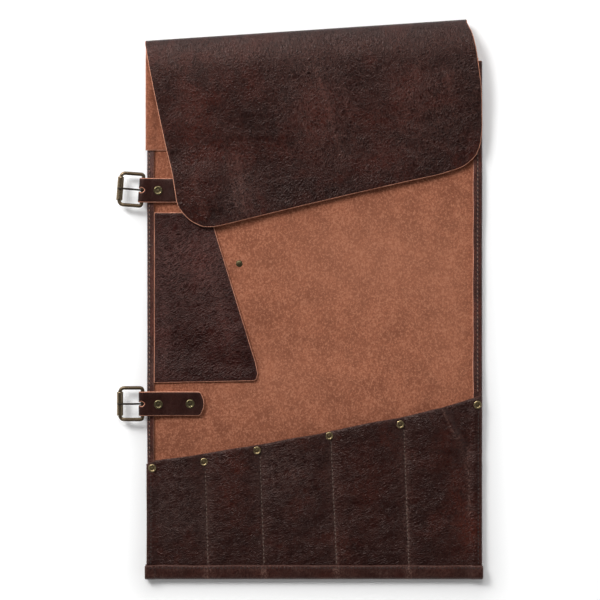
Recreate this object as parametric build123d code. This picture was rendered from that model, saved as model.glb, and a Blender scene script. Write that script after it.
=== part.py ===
from build123d import *
import math
import os

# Brush roll case in leather, lying open and flat. Millimetres.
# +X across the case (roll direction), +Y from the pocket end to the flap end,
# +Z up, out of the inside face. Origin: middle of the bounding box in X and Y,
# bottom in Z. Four roll lines cut the case into five strips, numbered from -X.

# ---- leather thicknesses and heights (undersides unless noted) -----------
HIDE_T = 1.8            # body leather
THIN_T = 1.6            # pocket, flap, binding, hem and buckle strap leather
BILLET_T = 2.0          # outside straps
Z_BILLET = 0.8
Z_BODY = 3.0
Z_HEM = Z_BODY + HIDE_T
Z_LAND = 5.0            # flat lands between pockets
Z_SIDE = 5.8            # inner side flap
Z_UPPER = 6.6           # layers that lie over the hems
Z_FRONT = 10.8          # upper layer of the top flap
Z_CROWN = 11.6          # upper face of a pocket

# ---- roll lines, parallel to Y -------------------------------------------
HINGES = [-75.2, -31.6, 28.0, 86.5]
ROLL_DEG = [57.0, 62.0, 80.5, 86.0]     # angle of each line in the closed roll
Z_PIVOT = 6.6           # height of every roll line
SLIT_HALF = 0.12        # half of the slit between two strips
RAISED_GAP = 0.5        # extra gap each side for layers above the roll lines
FAR = 1000.0            # beyond the case on every side
EDGES = [-FAR] + HINGES + [FAR]
STRIPS = range(len(HINGES) + 1)

# ---- body and hems -------------------------------------------------------
X_LEFT, X_RIGHT = -125.9, 149.2
Y_BOTTOM, Y_TOP = -227.7, 199.7
BODY_OUTLINE = [(X_LEFT, Y_BOTTOM), (X_RIGHT, Y_BOTTOM), (X_RIGHT + 0.6, 194.5),
                (147.9, 199.2), (144.4, Y_TOP), (X_LEFT, Y_TOP)]
HEM_LEFT, HEM_RIGHT = 5.8, 7.8          # widths
HEM_RIGHT_TOP = 194.0
HEM_SINK = 0.2          # how far a hem reaches down into the body

# ---- bottom binding ------------------------------------------------------
BIND_LEFT, BIND_RIGHT = -127.6, 149.6
Y_BIND, Y_BIND_OUT = -217.5, -229.3     # upper edge, outer fold
Z_BIND = 1.2            # underside of the lower leaf
BIND_WALL = 1.4
Y_ABOVE_BIND = Y_BIND + 0.2             # where hems and pockets start

# ---- pockets -------------------------------------------------------------
# Slanting top edge of the pocket panel, x, y
POCKET_TOP = [(-126.4, -134.6), (-119.0, -132.1), (-79.9, -126.0), (-36.2, -118.5),
              (16.0, -109.3), (42.2, -103.6), (81.4, -96.1), (117.1, -87.5),
              (148.0, -78.2)]
POCKET_EDGES = [POCKET_TOP[0][0]] + HINGES + [POCKET_TOP[-1][0]]
POCKET_REGION = [(-130.0, Y_ABOVE_BIND), (152.0, Y_ABOVE_BIND)] + POCKET_TOP[::-1]
Y_POCKET_END = -70.0    # beyond the top edge, trimmed back to it
LAND_W = 3.0            # land right of each roll line
# Per pocket: x where the walls leave the left and right lands, z of those lands
POCKETS = [(-118.0, -83.6, Z_UPPER, Z_LAND),
           (HINGES[0] + LAND_W, -39.6, Z_LAND, Z_LAND),
           (HINGES[1] + LAND_W, 19.6, Z_LAND, Z_LAND),
           (HINGES[2] + LAND_W, 77.8, Z_LAND, Z_LAND),
           (HINGES[3] + LAND_W, 140.6, Z_LAND, Z_UPPER)]

# ---- top flap ------------------------------------------------------------
FOLD_A = (-127.1, 211.6)                # ends of the fold's outermost line
FOLD_B = (136.0, 229.1)
FOLD_R = (Z_FRONT + THIN_T - Z_UPPER) / 2
FLAP_BACK_X = (-127.0, 136.0)
Y_FLAP_BACK = 122.6
FLAP_BACK_INSET = 3.2   # lower layer stops this far short of the fold's axis
# Free edge of the upper layer, x, y
FLAP_OUTLINE = [(-123.0, 187.0), (-116.4, 154.2), (-109.8, 123.0),
                (-105.1, 104.1), (-102.6, 87.9), (-101.7, 81.6), (-100.1, 76.3),
                (-95.4, 69.7), (-89.1, 64.0), (-80.4, 59.9), (-65.3, 60.8),
                (32.4, 84.4), (88.9, 97.3), (112.8, 102.3), (132.8, 108.6),
                (142.8, 116.7), (146.9, 125.5), (148.5, 139.3), (148.2, 158.1),
                (147.3, 175.7), (145.4, 189.5), (143.5, 203.4), (140.4, 217.1)]

# ---- inner side flap, x, y -----------------------------------------------
SIDE_OUTLINE = [(-119.5, 71.8), (-119.5, -68.0), (-38.3, -66.3), (-35.4, -64.0),
                (-34.9, -60.3), (-36.7, -51.5), (-70.0, 56.6), (-80.6, 58.2),
                (-90.4, 62.2), (-97.4, 68.6), (-99.6, 71.8)]

# ---- straps and carry loop -----------------------------------------------
STRAP_W = 20.0          # buckle straps and billets
STRAP_HALF = STRAP_W / 2
# x, and y from the strap's middle line
BILLET_OUTLINE = [(-121.0, -STRAP_HALF), (124.0, -STRAP_HALF), (131.0, -4.0), (132.0, 0.0),
                  (131.0, 4.0), (124.0, STRAP_HALF), (-121.0, STRAP_HALF)]
STRAP_TIP = [(-83.0, -STRAP_HALF), (-80.0, -5.5), (-78.8, 0.0), (-80.0, 5.5),
             (-83.0, STRAP_HALF)]
BILLET_HOLES = [47.0, 65.0, 101.0, 119.0]       # x
BILLET_HOLE_R = 1.7
LOOP_X, LOOP_W = -50.3, 14.0
LOOP_END = 7.8          # from a rivet to the loop's end
LOOP_CORNER_R = 5.0

# ---- rivets, x, y --------------------------------------------------------
POCKET_RIVETS = [(-121.6, -137.8), (-79.3, -132.8), (-35.8, -123.3),
                 (23.5, -111.3), (81.7, -101.9), (145.0, -85.8)]
STRAP_RIVETS = [(-116.6, 89.7), (-90.6, 89.8), (-116.4, -85.4), (-90.4, -85.0)]
LOOP_RIVETS = [(LOOP_X, 29.8), (LOOP_X, -25.2)]
POCKET_RIVET = dict(z_head=2.1, head_t=0.85, cap_t=0.9, shank_r=1.25, head_r=3.2, cap_r=3.35)
STRAP_RIVET = dict(z_head=0.0, head_t=0.75, cap_t=0.75, shank_r=1.6, head_r=3.75, cap_r=3.75)
LOOP_RIVET = dict(z_head=0.0, head_t=0.75, cap_t=0.75, shank_r=1.3, head_r=3.2, cap_r=2.75)
RIVET_FIT = 0.05        # clearance round the shank and under the cap
DISH = 0.55             # dish radius and floor height, as parts of the cap's

# ---- roller buckles ------------------------------------------------------
BUCKLES = {"upper": (89.8, -4.5), "lower": (-84.9, 0.0)}    # y, tilt in degrees
HEEL_X = -129.3
HEEL_Z = Z_UPPER + THIN_T               # mid-height of the doubled strap
WIRE_R = 1.5
BUCKLE_L, BUCKLE_W = 18.4, 25.9         # bar to bar, side to side, centre lines
BUCKLE_CORNER_R = 2.0
ROLLER_R, ROLLER_L = 2.6, 19.3
ROLLER_FIT, PRONG_FIT, FOLD_FIT = 0.07, 0.06, 0.08      # clearances round the wire
PRONG_W, PRONG_EYE_R = 2.8, 2.9
# Side profile, x, z from the heel bar
PRONG_PROFILE = [(0.5, 0.0), (0.5, 2.9), (-13.5, 4.8), (-19.3, 4.6), (-20.6, 3.9),
                 (-20.5, 2.75), (-14.5, 2.75), (-2.6, 0.6)]
PRONG_SLOT = (-5.0, 3.5, -2.3, 2.3, -6.0, 6.0)          # x, y, z limits from the bar
PLATE_START = 2.4       # from the heel bar to the flat part of the strap


# ---- helpers -------------------------------------------------------------
def clip_x(points, left, right):
    """Part of a polygon between two x values, without repeated points."""
    for limit, side in ((left, 1), (right, -1)):
        kept = []
        for i, here in enumerate(points):
            after = points[(i + 1) % len(points)]
            here_in = side * (here[0] - limit) >= 0
            after_in = side * (after[0] - limit) >= 0
            if here_in:
                kept.append(here)
            if here_in != after_in:
                part = (limit - here[0]) / (after[0] - here[0])
                kept.append((limit, here[1] + part * (after[1] - here[1])))
        points = kept
    clean = []
    for point in points:
        if not clean or math.dist(point, clean[-1]) > 1e-4:
            clean.append(point)
    if clean and math.dist(clean[0], clean[-1]) < 1e-4:
        clean.pop()
    return clean


def prism(points, z0, z1):
    face = make_face(Polyline(*[(x, y, z0) for x, y in points], close=True))
    return extrude(face, amount=z1 - z0, dir=(0, 0, 1))


def bar_y(points_xz, y0, y1):
    face = make_face(Polyline(*[(x, y0, z) for x, z in points_xz], close=True))
    return extrude(face, amount=y1 - y0, dir=(0, 1, 0))


def slab(x0, x1, y0, y1, z0, z1):
    return Pos((x0 + x1) / 2, (y0 + y1) / 2, (z0 + z1) / 2) * Box(x1 - x0, y1 - y0, z1 - z0)


def disc(x, y, z0, z1, radius):
    return Pos(x, y, (z0 + z1) / 2) * Cylinder(radius, z1 - z0)


def tube(outer_r, inner_r, length):
    return Cylinder(outer_r, length) - Cylinder(inner_r, 2 * length)


def strip_span(k, z_top=Z_PIVOT):
    """x limits on strip k of a layer; above the roll lines it needs room to roll."""
    rise = z_top - Z_PIVOT
    extra = RAISED_GAP if rise > 0 else 0.0
    left, right = EDGES[k], EDGES[k + 1]
    if k > 0:
        left += SLIT_HALF + rise * math.tan(math.radians(ROLL_DEG[k - 1] / 2)) + extra
    if k < len(HINGES):
        right -= SLIT_HALF + rise * math.tan(math.radians(ROLL_DEG[k] / 2)) + extra
    return left, right


def strip_layer(outline, k, z, thickness):
    """Strip k of a flat layer that reaches above the roll lines."""
    return prism(clip_x(outline, *strip_span(k, z + thickness)), z, z + thickness)


def cut_holes(shape, points, radius, left=-FAR, right=FAR):
    for x, y in points:
        if left < x < right:
            shape = shape - disc(x, y, -5, 30, radius)
    return shape


def rivet_holes(shape, points, rivet, left=-FAR, right=FAR):
    return cut_holes(shape, points, rivet["shank_r"] + RIVET_FIT, left, right)


def cap_rivet(x, y, z_leather, z_head, head_t, cap_t, shank_r, head_r, cap_r):
    """Head below, shank, and a cap with a dished middle on the leather's top."""
    z_cap = z_leather + RIVET_FIT
    body = disc(x, y, z_head, z_head + head_t, head_r)
    body = body + disc(x, y, z_head + head_t / 2, z_cap + cap_t / 2, shank_r)
    cap = disc(x, y, z_cap, z_cap + cap_t, cap_r)
    cap = cap - disc(x, y, z_cap + cap_t * DISH, z_cap + cap_t + 1, cap_r * DISH)
    return (body + cap).solid()


# ---- layers cut into strips ----------------------------------------------
def back_panel(k):
    """Body leather, with a folded hem on each outer side."""
    left, right = strip_span(k)
    panel = prism(clip_x(BODY_OUTLINE, left, right), Z_BODY, Z_BODY + HIDE_T)
    hem_z = (Z_HEM - HEM_SINK, Z_HEM + THIN_T)
    if k == 0:
        panel = panel + slab(X_LEFT, X_LEFT + HEM_LEFT, Y_ABOVE_BIND, Y_TOP, *hem_z)
    if k == STRIPS[-1]:
        panel = panel + slab(X_RIGHT - HEM_RIGHT, X_RIGHT, Y_ABOVE_BIND, HEM_RIGHT_TOP, *hem_z)
    for points, rivet in ((POCKET_RIVETS, POCKET_RIVET), (STRAP_RIVETS, STRAP_RIVET),
                          (LOOP_RIVETS, LOOP_RIVET)):
        panel = rivet_holes(panel, points, rivet, left, right)
    return panel


def pocket_front(k):
    """A pocket with 45 degree walls, open at the slanting top edge."""
    wall_left, wall_right, z_left, z_right = POCKETS[k]
    left = POCKET_EDGES[k] + (SLIT_HALF if k > 0 else 0.0)
    right = POCKET_EDGES[k + 1] - (SLIT_HALF if k < len(HINGES) else 0.0)
    top_left, top_right = z_left + THIN_T, z_right + THIN_T
    rise_left, rise_right = Z_CROWN - top_left, Z_CROWN - top_right
    mitre = THIN_T * math.tan(math.radians(45 / 2))     # keeps the walls THIN_T thick
    inner_left, inner_right = wall_left + mitre, wall_right - mitre
    profile = [(left, z_left), (inner_left, z_left),
               (inner_left + rise_left, Z_CROWN - THIN_T),
               (inner_right - rise_right, Z_CROWN - THIN_T),
               (inner_right, z_right), (right, z_right),
               (right, top_right), (wall_right, top_right),
               (wall_right - rise_right, Z_CROWN), (wall_left + rise_left, Z_CROWN),
               (wall_left, top_left), (left, top_left)]
    pocket = bar_y(profile, Y_ABOVE_BIND, Y_POCKET_END)
    pocket = pocket & prism(clip_x(POCKET_REGION, left - 1, right + 1), 0, 20)
    return rivet_holes(pocket, POCKET_RIVETS, POCKET_RIVET, left, right)


def bottom_binding(k):
    """Leather folded round the bottom edge."""
    left, right = strip_span(k)
    left, right = max(left, BIND_LEFT), min(right, BIND_RIGHT)
    z_top = Z_LAND + THIN_T
    upper = slab(left, right, Y_BIND_OUT, Y_BIND, Z_LAND, z_top)
    lower = slab(left, right, Y_BIND_OUT, Y_BIND, Z_BIND, Z_BIND + THIN_T)
    wall = slab(left, right, Y_BIND_OUT, Y_BIND_OUT + BIND_WALL, Z_BIND, z_top)
    return upper + lower + wall


fold_angle = math.atan2(FOLD_B[1] - FOLD_A[1], FOLD_B[0] - FOLD_A[0])


def inside_fold(point, distance):
    """A point of the fold's outermost line, moved square to it into the case."""
    return (point[0] + math.sin(fold_angle) * distance,
            point[1] - math.cos(fold_angle) * distance)


def flap_back(k):
    """Lower layer of the top flap."""
    x0, x1 = FLAP_BACK_X
    y_left, y_right = [inside_fold(end, FOLD_R + FLAP_BACK_INSET)[1] for end in (FOLD_A, FOLD_B)]
    outline = [(x0, Y_FLAP_BACK), (x1, Y_FLAP_BACK), (x1, y_right), (x0, y_left)]
    return strip_layer(outline, k, Z_UPPER, THIN_T)


def flap_fold():
    """Half tube along the slanting +Y edge of the top flap."""
    middle = ((FOLD_A[0] + FOLD_B[0]) / 2, (FOLD_A[1] + FOLD_B[1]) / 2)
    axis_x, axis_y = inside_fold(middle, FOLD_R)
    length = math.dist(FOLD_A, FOLD_B)
    half = Rot(0, 90, 0) * tube(FOLD_R, FOLD_R - THIN_T, length)
    half = half & (Pos(0, 10, 0) * Box(2 * length, 20, 20))
    return Pos(axis_x, axis_y, Z_UPPER + FOLD_R) * Rot(0, 0, math.degrees(fold_angle)) * half


def flap_front(k, fold):
    """Upper layer of the top flap with its part of the fold."""
    outline = [inside_fold(FOLD_A, FOLD_R)] + FLAP_OUTLINE + [inside_fold(FOLD_B, FOLD_R)]
    left, right = strip_span(k, Z_FRONT + THIN_T)
    return strip_layer(outline, k, Z_FRONT, THIN_T) + (fold & slab(left, right, 100, 300, 0, 40))


def billet_straps(k):
    """Both outside straps, under the body."""
    left, right = strip_span(k)
    straps = []
    for y_mid, _ in BUCKLES.values():
        outline = [(x, y_mid + y) for x, y in BILLET_OUTLINE]
        strap = prism(clip_x(outline, left, right), Z_BILLET, Z_BILLET + BILLET_T)
        strap = rivet_holes(strap, STRAP_RIVETS, STRAP_RIVET, left, right)
        strap = cut_holes(strap, [(x, y_mid) for x in BILLET_HOLES], BILLET_HOLE_R, left, right)
        straps.append(strap.solid())
    return straps


def pocket_rivets(k):
    """Rivets of strip k; the first and last of the row stand on the raised lands."""
    raised = (POCKET_RIVETS[0], POCKET_RIVETS[-1])
    return [cap_rivet(*place, (Z_UPPER if place in raised else Z_LAND) + THIN_T, **POCKET_RIVET)
            for place in POCKET_RIVETS if EDGES[k] < place[0] < EDGES[k + 1]]


# ---- carry loop and buckles ----------------------------------------------
def carry_loop():
    loop = slab(LOOP_X - LOOP_W / 2, LOOP_X + LOOP_W / 2,
                LOOP_RIVETS[1][1] - LOOP_END, LOOP_RIVETS[0][1] + LOOP_END,
                Z_BILLET, Z_BILLET + BILLET_T)
    loop = fillet(loop.edges().filter_by(Axis.Z), LOOP_CORNER_R)
    return rivet_holes(loop, LOOP_RIVETS, LOOP_RIVET)


# Buckle pieces are made with the heel bar along Y through the origin.
ALONG_Y = Rot(90, 0, 0)


def buckle_frame():
    outline = RectangleRounded(BUCKLE_L, BUCKLE_W, BUCKLE_CORNER_R)
    path = (Pos(-BUCKLE_L / 2, 0, 0) * outline).wire()
    return sweep(Plane(origin=path @ 0, z_dir=path % 0) * Circle(WIRE_R), path=path)


def roller():
    sleeve = tube(ROLLER_R, WIRE_R + ROLLER_FIT, ROLLER_L)
    return (Pos(-BUCKLE_L, 0, 0) * ALONG_Y * sleeve).solid()


def prong():
    tongue = bar_y(PRONG_PROFILE, -PRONG_W / 2, PRONG_W / 2)
    tongue = tongue + ALONG_Y * Cylinder(PRONG_EYE_R, PRONG_W)
    return tongue - ALONG_Y * Cylinder(WIRE_R + PRONG_FIT, 2 * PRONG_W)


def buckle_strap(place, y_mid, tilt):
    """Doubled strap, folded round the heel bar and slotted for the prong."""
    bore_r = WIRE_R + FOLD_FIT
    fold = ALONG_Y * tube(bore_r + THIN_T, bore_r, STRAP_W)
    turn = math.radians(tilt)
    start = [(HEEL_X + PLATE_START * math.cos(turn) - y * math.sin(turn), y_mid + y)
             for y in (-STRAP_HALF, STRAP_HALF)]
    tip = [(x, y_mid + y) for x, y in STRAP_TIP]
    plate = prism([start[0], *tip, start[1]], Z_UPPER, Z_UPPER + 2 * THIN_T)
    strap = plate + place * fold - place * slab(*PRONG_SLOT)
    return rivet_holes(strap, STRAP_RIVETS, STRAP_RIVET)


# ---- all pieces ----------------------------------------------------------
parts = {}
fold = flap_fold()
for k in STRIPS:
    for make in (back_panel, pocket_front, bottom_binding, flap_back, billet_straps,
                 pocket_rivets):
        parts[f"{make.__name__}_{k + 1}"] = make(k)
    parts[f"flap_front_{k + 1}"] = flap_front(k, fold)
for k, letter in enumerate("ab"):
    parts[f"side_flap_{letter}"] = strip_layer(SIDE_OUTLINE, k, Z_SIDE, THIN_T)
parts["carry_loop"] = carry_loop()
parts["strap_rivets"] = [cap_rivet(x, y, Z_UPPER + 2 * THIN_T, **STRAP_RIVET)
                         for x, y in STRAP_RIVETS]
parts["carry_loop_rivets"] = [cap_rivet(x, y, Z_HEM, **LOOP_RIVET) for x, y in LOOP_RIVETS]
for name, (y_mid, tilt) in BUCKLES.items():
    place = Pos(HEEL_X, y_mid, HEEL_Z) * Rot(0, 0, tilt)
    for make in (buckle_frame, roller, prong):
        parts[f"{name}_{make.__name__}"] = place * make()
    parts[f"{name}_buckle_strap"] = buckle_strap(place, y_mid, tilt)

# ---- move the origin, then write -----------------------------------------
parts = {name: part if isinstance(part, list) else [part.solid()]
         for name, part in parts.items()}
boxes = [solid.bounding_box() for solids in parts.values() for solid in solids]
low = [min(getattr(box.min, axis) for box in boxes) for axis in "XYZ"]
high = [max(getattr(box.max, axis) for box in boxes) for axis in "XYZ"]
shift = Pos(round(-(low[0] + high[0]) / 2, 2), round(-(low[1] + high[1]) / 2, 2),
            round(-low[2], 3))
os.makedirs("parts", exist_ok=True)
for name, solids in parts.items():
    moved = [shift * solid for solid in solids]
    export_step(moved[0] if len(moved) == 1 else Compound(moved), f"parts/{name}.step")
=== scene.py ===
import math

import bpy
import numpy as np
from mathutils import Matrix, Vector
from mathutils.geometry import delaunay_2d_cdt


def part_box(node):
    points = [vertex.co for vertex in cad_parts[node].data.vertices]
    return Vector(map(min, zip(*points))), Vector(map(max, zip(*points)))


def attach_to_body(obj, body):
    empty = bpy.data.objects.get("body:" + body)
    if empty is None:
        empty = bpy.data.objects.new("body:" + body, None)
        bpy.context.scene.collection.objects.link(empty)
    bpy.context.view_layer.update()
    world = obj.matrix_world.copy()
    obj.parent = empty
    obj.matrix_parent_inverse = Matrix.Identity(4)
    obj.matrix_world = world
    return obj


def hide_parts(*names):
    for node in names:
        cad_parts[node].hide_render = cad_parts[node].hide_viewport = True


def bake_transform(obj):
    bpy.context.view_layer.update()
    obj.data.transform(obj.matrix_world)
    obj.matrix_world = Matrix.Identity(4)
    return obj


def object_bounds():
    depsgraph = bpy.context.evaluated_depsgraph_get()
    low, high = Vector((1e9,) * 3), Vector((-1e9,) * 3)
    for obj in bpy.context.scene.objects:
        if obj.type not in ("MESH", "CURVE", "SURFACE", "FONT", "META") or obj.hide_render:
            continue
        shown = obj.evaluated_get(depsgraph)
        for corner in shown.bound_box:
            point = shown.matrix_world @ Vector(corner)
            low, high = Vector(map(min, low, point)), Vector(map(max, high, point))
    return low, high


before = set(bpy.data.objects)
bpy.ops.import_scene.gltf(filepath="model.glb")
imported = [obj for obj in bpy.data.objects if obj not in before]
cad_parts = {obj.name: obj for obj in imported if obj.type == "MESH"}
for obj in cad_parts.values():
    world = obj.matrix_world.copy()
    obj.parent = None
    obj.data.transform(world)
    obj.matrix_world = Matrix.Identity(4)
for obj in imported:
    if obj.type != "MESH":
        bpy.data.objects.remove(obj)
CAD_LO, CAD_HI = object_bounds()

# ------------------------------------------------------------------ layout
PANEL_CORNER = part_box("back_panel_1")[0]
ORIGIN_X, ORIGIN_Y = PANEL_CORNER.x * 1000 + 125.9, PANEL_CORNER.y * 1000 + 227.7
HINGES = [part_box(f"back_panel_{i}")[0].x * 1000 - ORIGIN_X - 0.12 for i in range(2, 6)]
# Each roll zone between the cuts holds one hinge, except the last, which has two hinges
CUTS = [(HINGES[i] + HINGES[i + 1]) / 2 for i in range(3)]
ZONES = "abcd"

BODY_Z, BODY_THICK = 3.9, 1.8
THIN = 1.6  # thickness of the other sheets of the inside
UPPER_Y, LOWER_Y = 89.8, -84.9  # centre lines of the two straps
STRAP_HALF_WIDTH = 9.9
HEEL_X, HEEL_Z = -129.3, 8.2  # heel bar of the buckles
UPPER_TILT = -4.5
BILLET_X = (-121.0, 132.0)
BILLET_HOLES = [47.0, 65.0, 101.0, 119.0]
LOOP_X, LOOP_Y, LOOP_CORNER_R = (-52.3, -48.3), (-28.0, 32.6), 5.0  # corner centres, radius
LOOP_RIVETS = [(-50.3, 29.8), (-50.3, -25.2)]
STRAP_RIVETS = [(-116.6, 89.7), (-90.6, 89.8), (-116.4, -85.4), (-90.4, -85.0)]
POCKET_RIVETS = [(-121.6, -137.8), (-79.3, -132.8), (-35.8, -123.3), (23.5, -111.3),
                 (81.7, -101.9), (145.0, -85.8)]

# Folded edge of the flap: two points on it, the slope of its axis and the lower radius
FOLD_A, FOLD_B = (-127.1, 211.6), (136.0, 229.1)
FOLD_ANGLE = math.atan2(FOLD_B[1] - FOLD_A[1], FOLD_B[0] - FOLD_A[0])
FOLD_COS = math.cos(FOLD_ANGLE)
FOLD_SLOPE = 0.0666
FOLD_R = 2.9
# Swelling upper half of the fold: length of the ellipse across the fold and its centre
SWELL_LENGTH, SWELL_CENTRE = 25.0, -22.1

# Free edge of the flap's front layer (x, y), from the left end of the fold round to the right
FLAP_OUTLINE = [
    (-123.0, 187.0), (-116.4, 154.2), (-109.8, 123.0), (-105.1, 104.1), (-102.6, 87.9),
    (-101.7, 81.6), (-100.1, 76.3), (-95.4, 69.7), (-89.1, 64.0), (-80.4, 59.9),
    (-73.0, 59.6), (-65.3, 60.8), (-16.0, 72.9), (32.4, 84.4), (88.9, 97.3),
    (112.8, 102.3), (132.8, 108.6), (142.8, 116.7), (146.9, 125.5), (148.5, 139.3),
    (148.2, 158.1), (147.3, 175.7), (145.4, 189.5), (143.5, 203.4), (140.4, 217.1)]
# Mouth of the pockets (x, y)
POCKET_TOP = [(-126.4, -134.6), (-119.0, -132.1), (-79.9, -126.0), (-36.2, -118.5),
              (16.0, -109.3), (42.2, -103.6), (81.4, -96.1), (117.1, -87.5), (148.0, -78.2)]
# Stitched lines between the pockets (top point, bottom point)
DIVIDERS = [((-78.1, -140.2), (-75.9, -216.8)), ((-33.2, -128.0), (-29.8, -216.8)),
            ((25.0, -115.5), (29.7, -216.8)), ((84.9, -106.0), (88.9, -216.8))]
POCKET_EDGE_X = (-122.6, 145.7)  # stitched sides of the pocket panel
POCKET_EDGE_END_Y = -217
POCKET_CREASE = ((115.5, -88.4), (128.6, -112.5))
BINDING_Y = -224.0  # where the bottom binding takes its heights


def place(x, y, z):
    """A layout point as a point of the frame, in metres."""
    return Vector(((x + ORIGIN_X) / 1000, (y + ORIGIN_Y) / 1000, z / 1000))


# ------------------------------------------------------- fields over x and y
def smooth(t):
    t = np.clip(t, 0.0, 1.0)
    return t * t * (3 - 2 * t)


def near(distance, width):
    """1 at no distance, fading out as a bell."""
    return np.exp(-(distance / width) ** 2)


def ripple(x, y, size, seed):
    """Smooth undulation of about +-1, with features of the given size."""
    waves = 9
    rng = np.random.RandomState(seed)
    total = 0.0
    for _ in range(waves):
        angle = rng.uniform(0, 2 * math.pi)
        rate = rng.uniform(0.6, 1.5) * 2 * math.pi / size
        phase = rng.uniform(0, 2 * math.pi)
        total = total + np.sin((x * math.cos(angle) + y * math.sin(angle)) * rate + phase)
    return total / math.sqrt(waves) * 0.8


def rect_distance(x, y, x0, x1, y0, y1):
    return np.hypot(np.maximum(np.maximum(x0 - x, x - x1), 0),
                    np.maximum(np.maximum(y0 - y, y - y1), 0))


def line_distance(x, y, start, end):
    ax, ay = start
    bx, by = end
    t = ((x - ax) * (bx - ax) + (y - ay) * (by - ay)) / ((bx - ax) ** 2 + (by - ay) ** 2)
    t = np.clip(t, 0, 1)
    return np.hypot(x - ax - t * (bx - ax), y - ay - t * (by - ay))


def blobs(x, y, rows, base=0.0):
    """Base plus soft ovals; rows are gain, centre x, y, radius x, y and turn in degrees."""
    total = base
    for gain, cx, cy, rx, ry, turn in rows:
        cos, sin = math.cos(math.radians(turn)), math.sin(math.radians(turn))
        along, across = (x - cx) * cos + (y - cy) * sin, -(x - cx) * sin + (y - cy) * cos
        total = total + gain * np.exp(-(along / rx) ** 2 - (across / ry) ** 2)
    return total


# ------------------------------------------------ middle surfaces of the sheets
def sag(x, y):
    """How far the leather sinks to the table away from the straps underneath."""
    upper, lower = [rect_distance(x, y, *BILLET_X, yc - 10, yc + 10) for yc in (UPPER_Y, LOWER_Y)]
    loop = rect_distance(x, y, LOOP_X[0] - LOOP_CORNER_R, LOOP_X[1] + LOOP_CORNER_R,
                         LOOP_Y[0] - LOOP_CORNER_R, LOOP_Y[1] + LOOP_CORNER_R)
    distance = np.minimum(np.minimum(upper, lower), loop)
    return 1.5 * smooth((distance - 4) / 30) * (1 - 0.3 * smooth((-196 - y) / 22))


def hem_lift(x):
    return 1.65 * (smooth((-118.6 - x) / 2.2) + smooth((x - 138.8) / 2.6))


def body_mid(x, y):
    z = (BODY_Z - sag(x, y) + 0.16 * ripple(x, y, size=46, seed=3)
         + 0.07 * ripple(x, y, size=17, seed=4))
    # two long soft creases by the hems
    z = z - 0.35 * near(x - 138.6 - 0.012 * y, 1.3) * smooth((170 - y) / 30)
    return z - 0.3 * near(x + 116.6, 1.2) * smooth((-62 - y) / 20)


def body_top(x, y):
    return BODY_Z - sag(x, y) + BODY_THICK / 2


def pocket_mid(x, y):
    walls = [-120.0]
    for top, bottom in DIVIDERS:
        walls.append(top[0] + (y - top[1]) * (bottom[0] - top[0]) / (bottom[1] - top[1]))
    walls.append(141.0)
    mouth = np.interp(x, *zip(*POCKET_TOP))
    depth = np.clip((mouth - y) / 105.0, 0, 1)
    height = 3.3 * (1 - smooth(depth * 1.15)) + 1.15 * smooth((y + 217.5) / 26)
    bulge = np.zeros_like(x)
    fullness = (0.8, 0.9, 0.85, 0.9, 1.0)  # one for each pocket, from -x to +x
    for left, right, gain in zip(walls, walls[1:], fullness):
        t = (x - left) / (right - left)
        arch = np.sin(math.pi * np.clip(t, 0, 1)) ** 0.85
        bulge = bulge + np.where((t > 0) & (t < 1), arch, 0) * gain * height
    # the crease across the last pocket: the part beside the rivet sinks
    (ax, ay), (bx, by) = POCKET_CREASE
    side = ((x - ax) * (ay - by) + (y - ay) * (bx - ax)) / math.hypot(ay - by, bx - ax)
    fade = smooth((y + 150) / 38)
    bulge = bulge * (1 - 0.82 * smooth((side - 0.2) / 4.5) * fade * (x > 96))
    bulge = bulge + 0.55 * near(side, 1.5) * fade * smooth((x - 108) / 6)
    z = body_top(x, y) + 0.92 + hem_lift(x) + np.maximum(bulge, 0)
    waves = 0.17 * ripple(x, y, size=30, seed=11) + 0.10 * ripple(x, y, size=13, seed=12)
    z = z + waves * smooth((y + 218) / 10)
    # the stitched lines press the leather down
    for line in DIVIDERS:
        z = z - 0.42 * near(line_distance(x, y, *line), 0.75)
    for edge_x in POCKET_EDGE_X:
        z = z - 0.25 * near(x - edge_x, 0.6)
    return z


def pocket_top(x, y):
    return pocket_mid(x, y) + THIN / 2


def fold_y(x):
    """y of the flap's hinge axis at x."""
    return FOLD_A[1] + FOLD_SLOPE * (x - FOLD_A[0]) - FOLD_R / FOLD_COS


def from_fold(x, y):
    """Distance from the flap's hinge axis, negative towards -y."""
    return (y - fold_y(x)) * FOLD_COS


def flap_back_mid(x, y):
    return (body_top(x, y) + 0.9 + hem_lift(x) * smooth((203 - y) / 6)
            + 0.12 * ripple(x, y, size=40, seed=21))


# Soft creases in the front layer: start, end, height, width
FLAP_CREASES = [
    ((20, 168), (38, 118), 0.32, 2.2), ((-84, 110), (-66, 72), 0.35, 2.4),
    ((-20, 196), (-6, 150), 0.22, 2.0), ((96, 190), (120, 140), 0.25, 2.4),
    ((-108, 148), (-60, 136), 0.3, 3.2), ((-60, 136), (40, 131), 0.28, 3.6)]


def flap_front_mid(x, y):
    t = -from_fold(x, y)
    z = 15.2 - 6.7 * smooth((t + SWELL_CENTRE + 6.0) / 108.0)
    # lifted where it lies over the upper strap and its rivet, and over the hem on the right
    strap = rect_distance(x, y, -112, -80, UPPER_Y - 9, UPPER_Y + 9)
    z = z + 2.1 * near(strap, 15.0) * smooth((t - 30) / 40)
    z = z + 0.9 * near(x - 146, 9.0)
    fade = smooth((t + SWELL_CENTRE) / 14)
    z = z + fade * (0.34 * ripple(x, y, size=62, seed=31) + 0.17 * ripple(x, y, size=26, seed=32)
                    + 0.07 * ripple(x, y, size=11, seed=33))
    for start, end, height, width in FLAP_CREASES:
        z = z + fade * height * near(line_distance(x, y, start, end), width)
    return z


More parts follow.
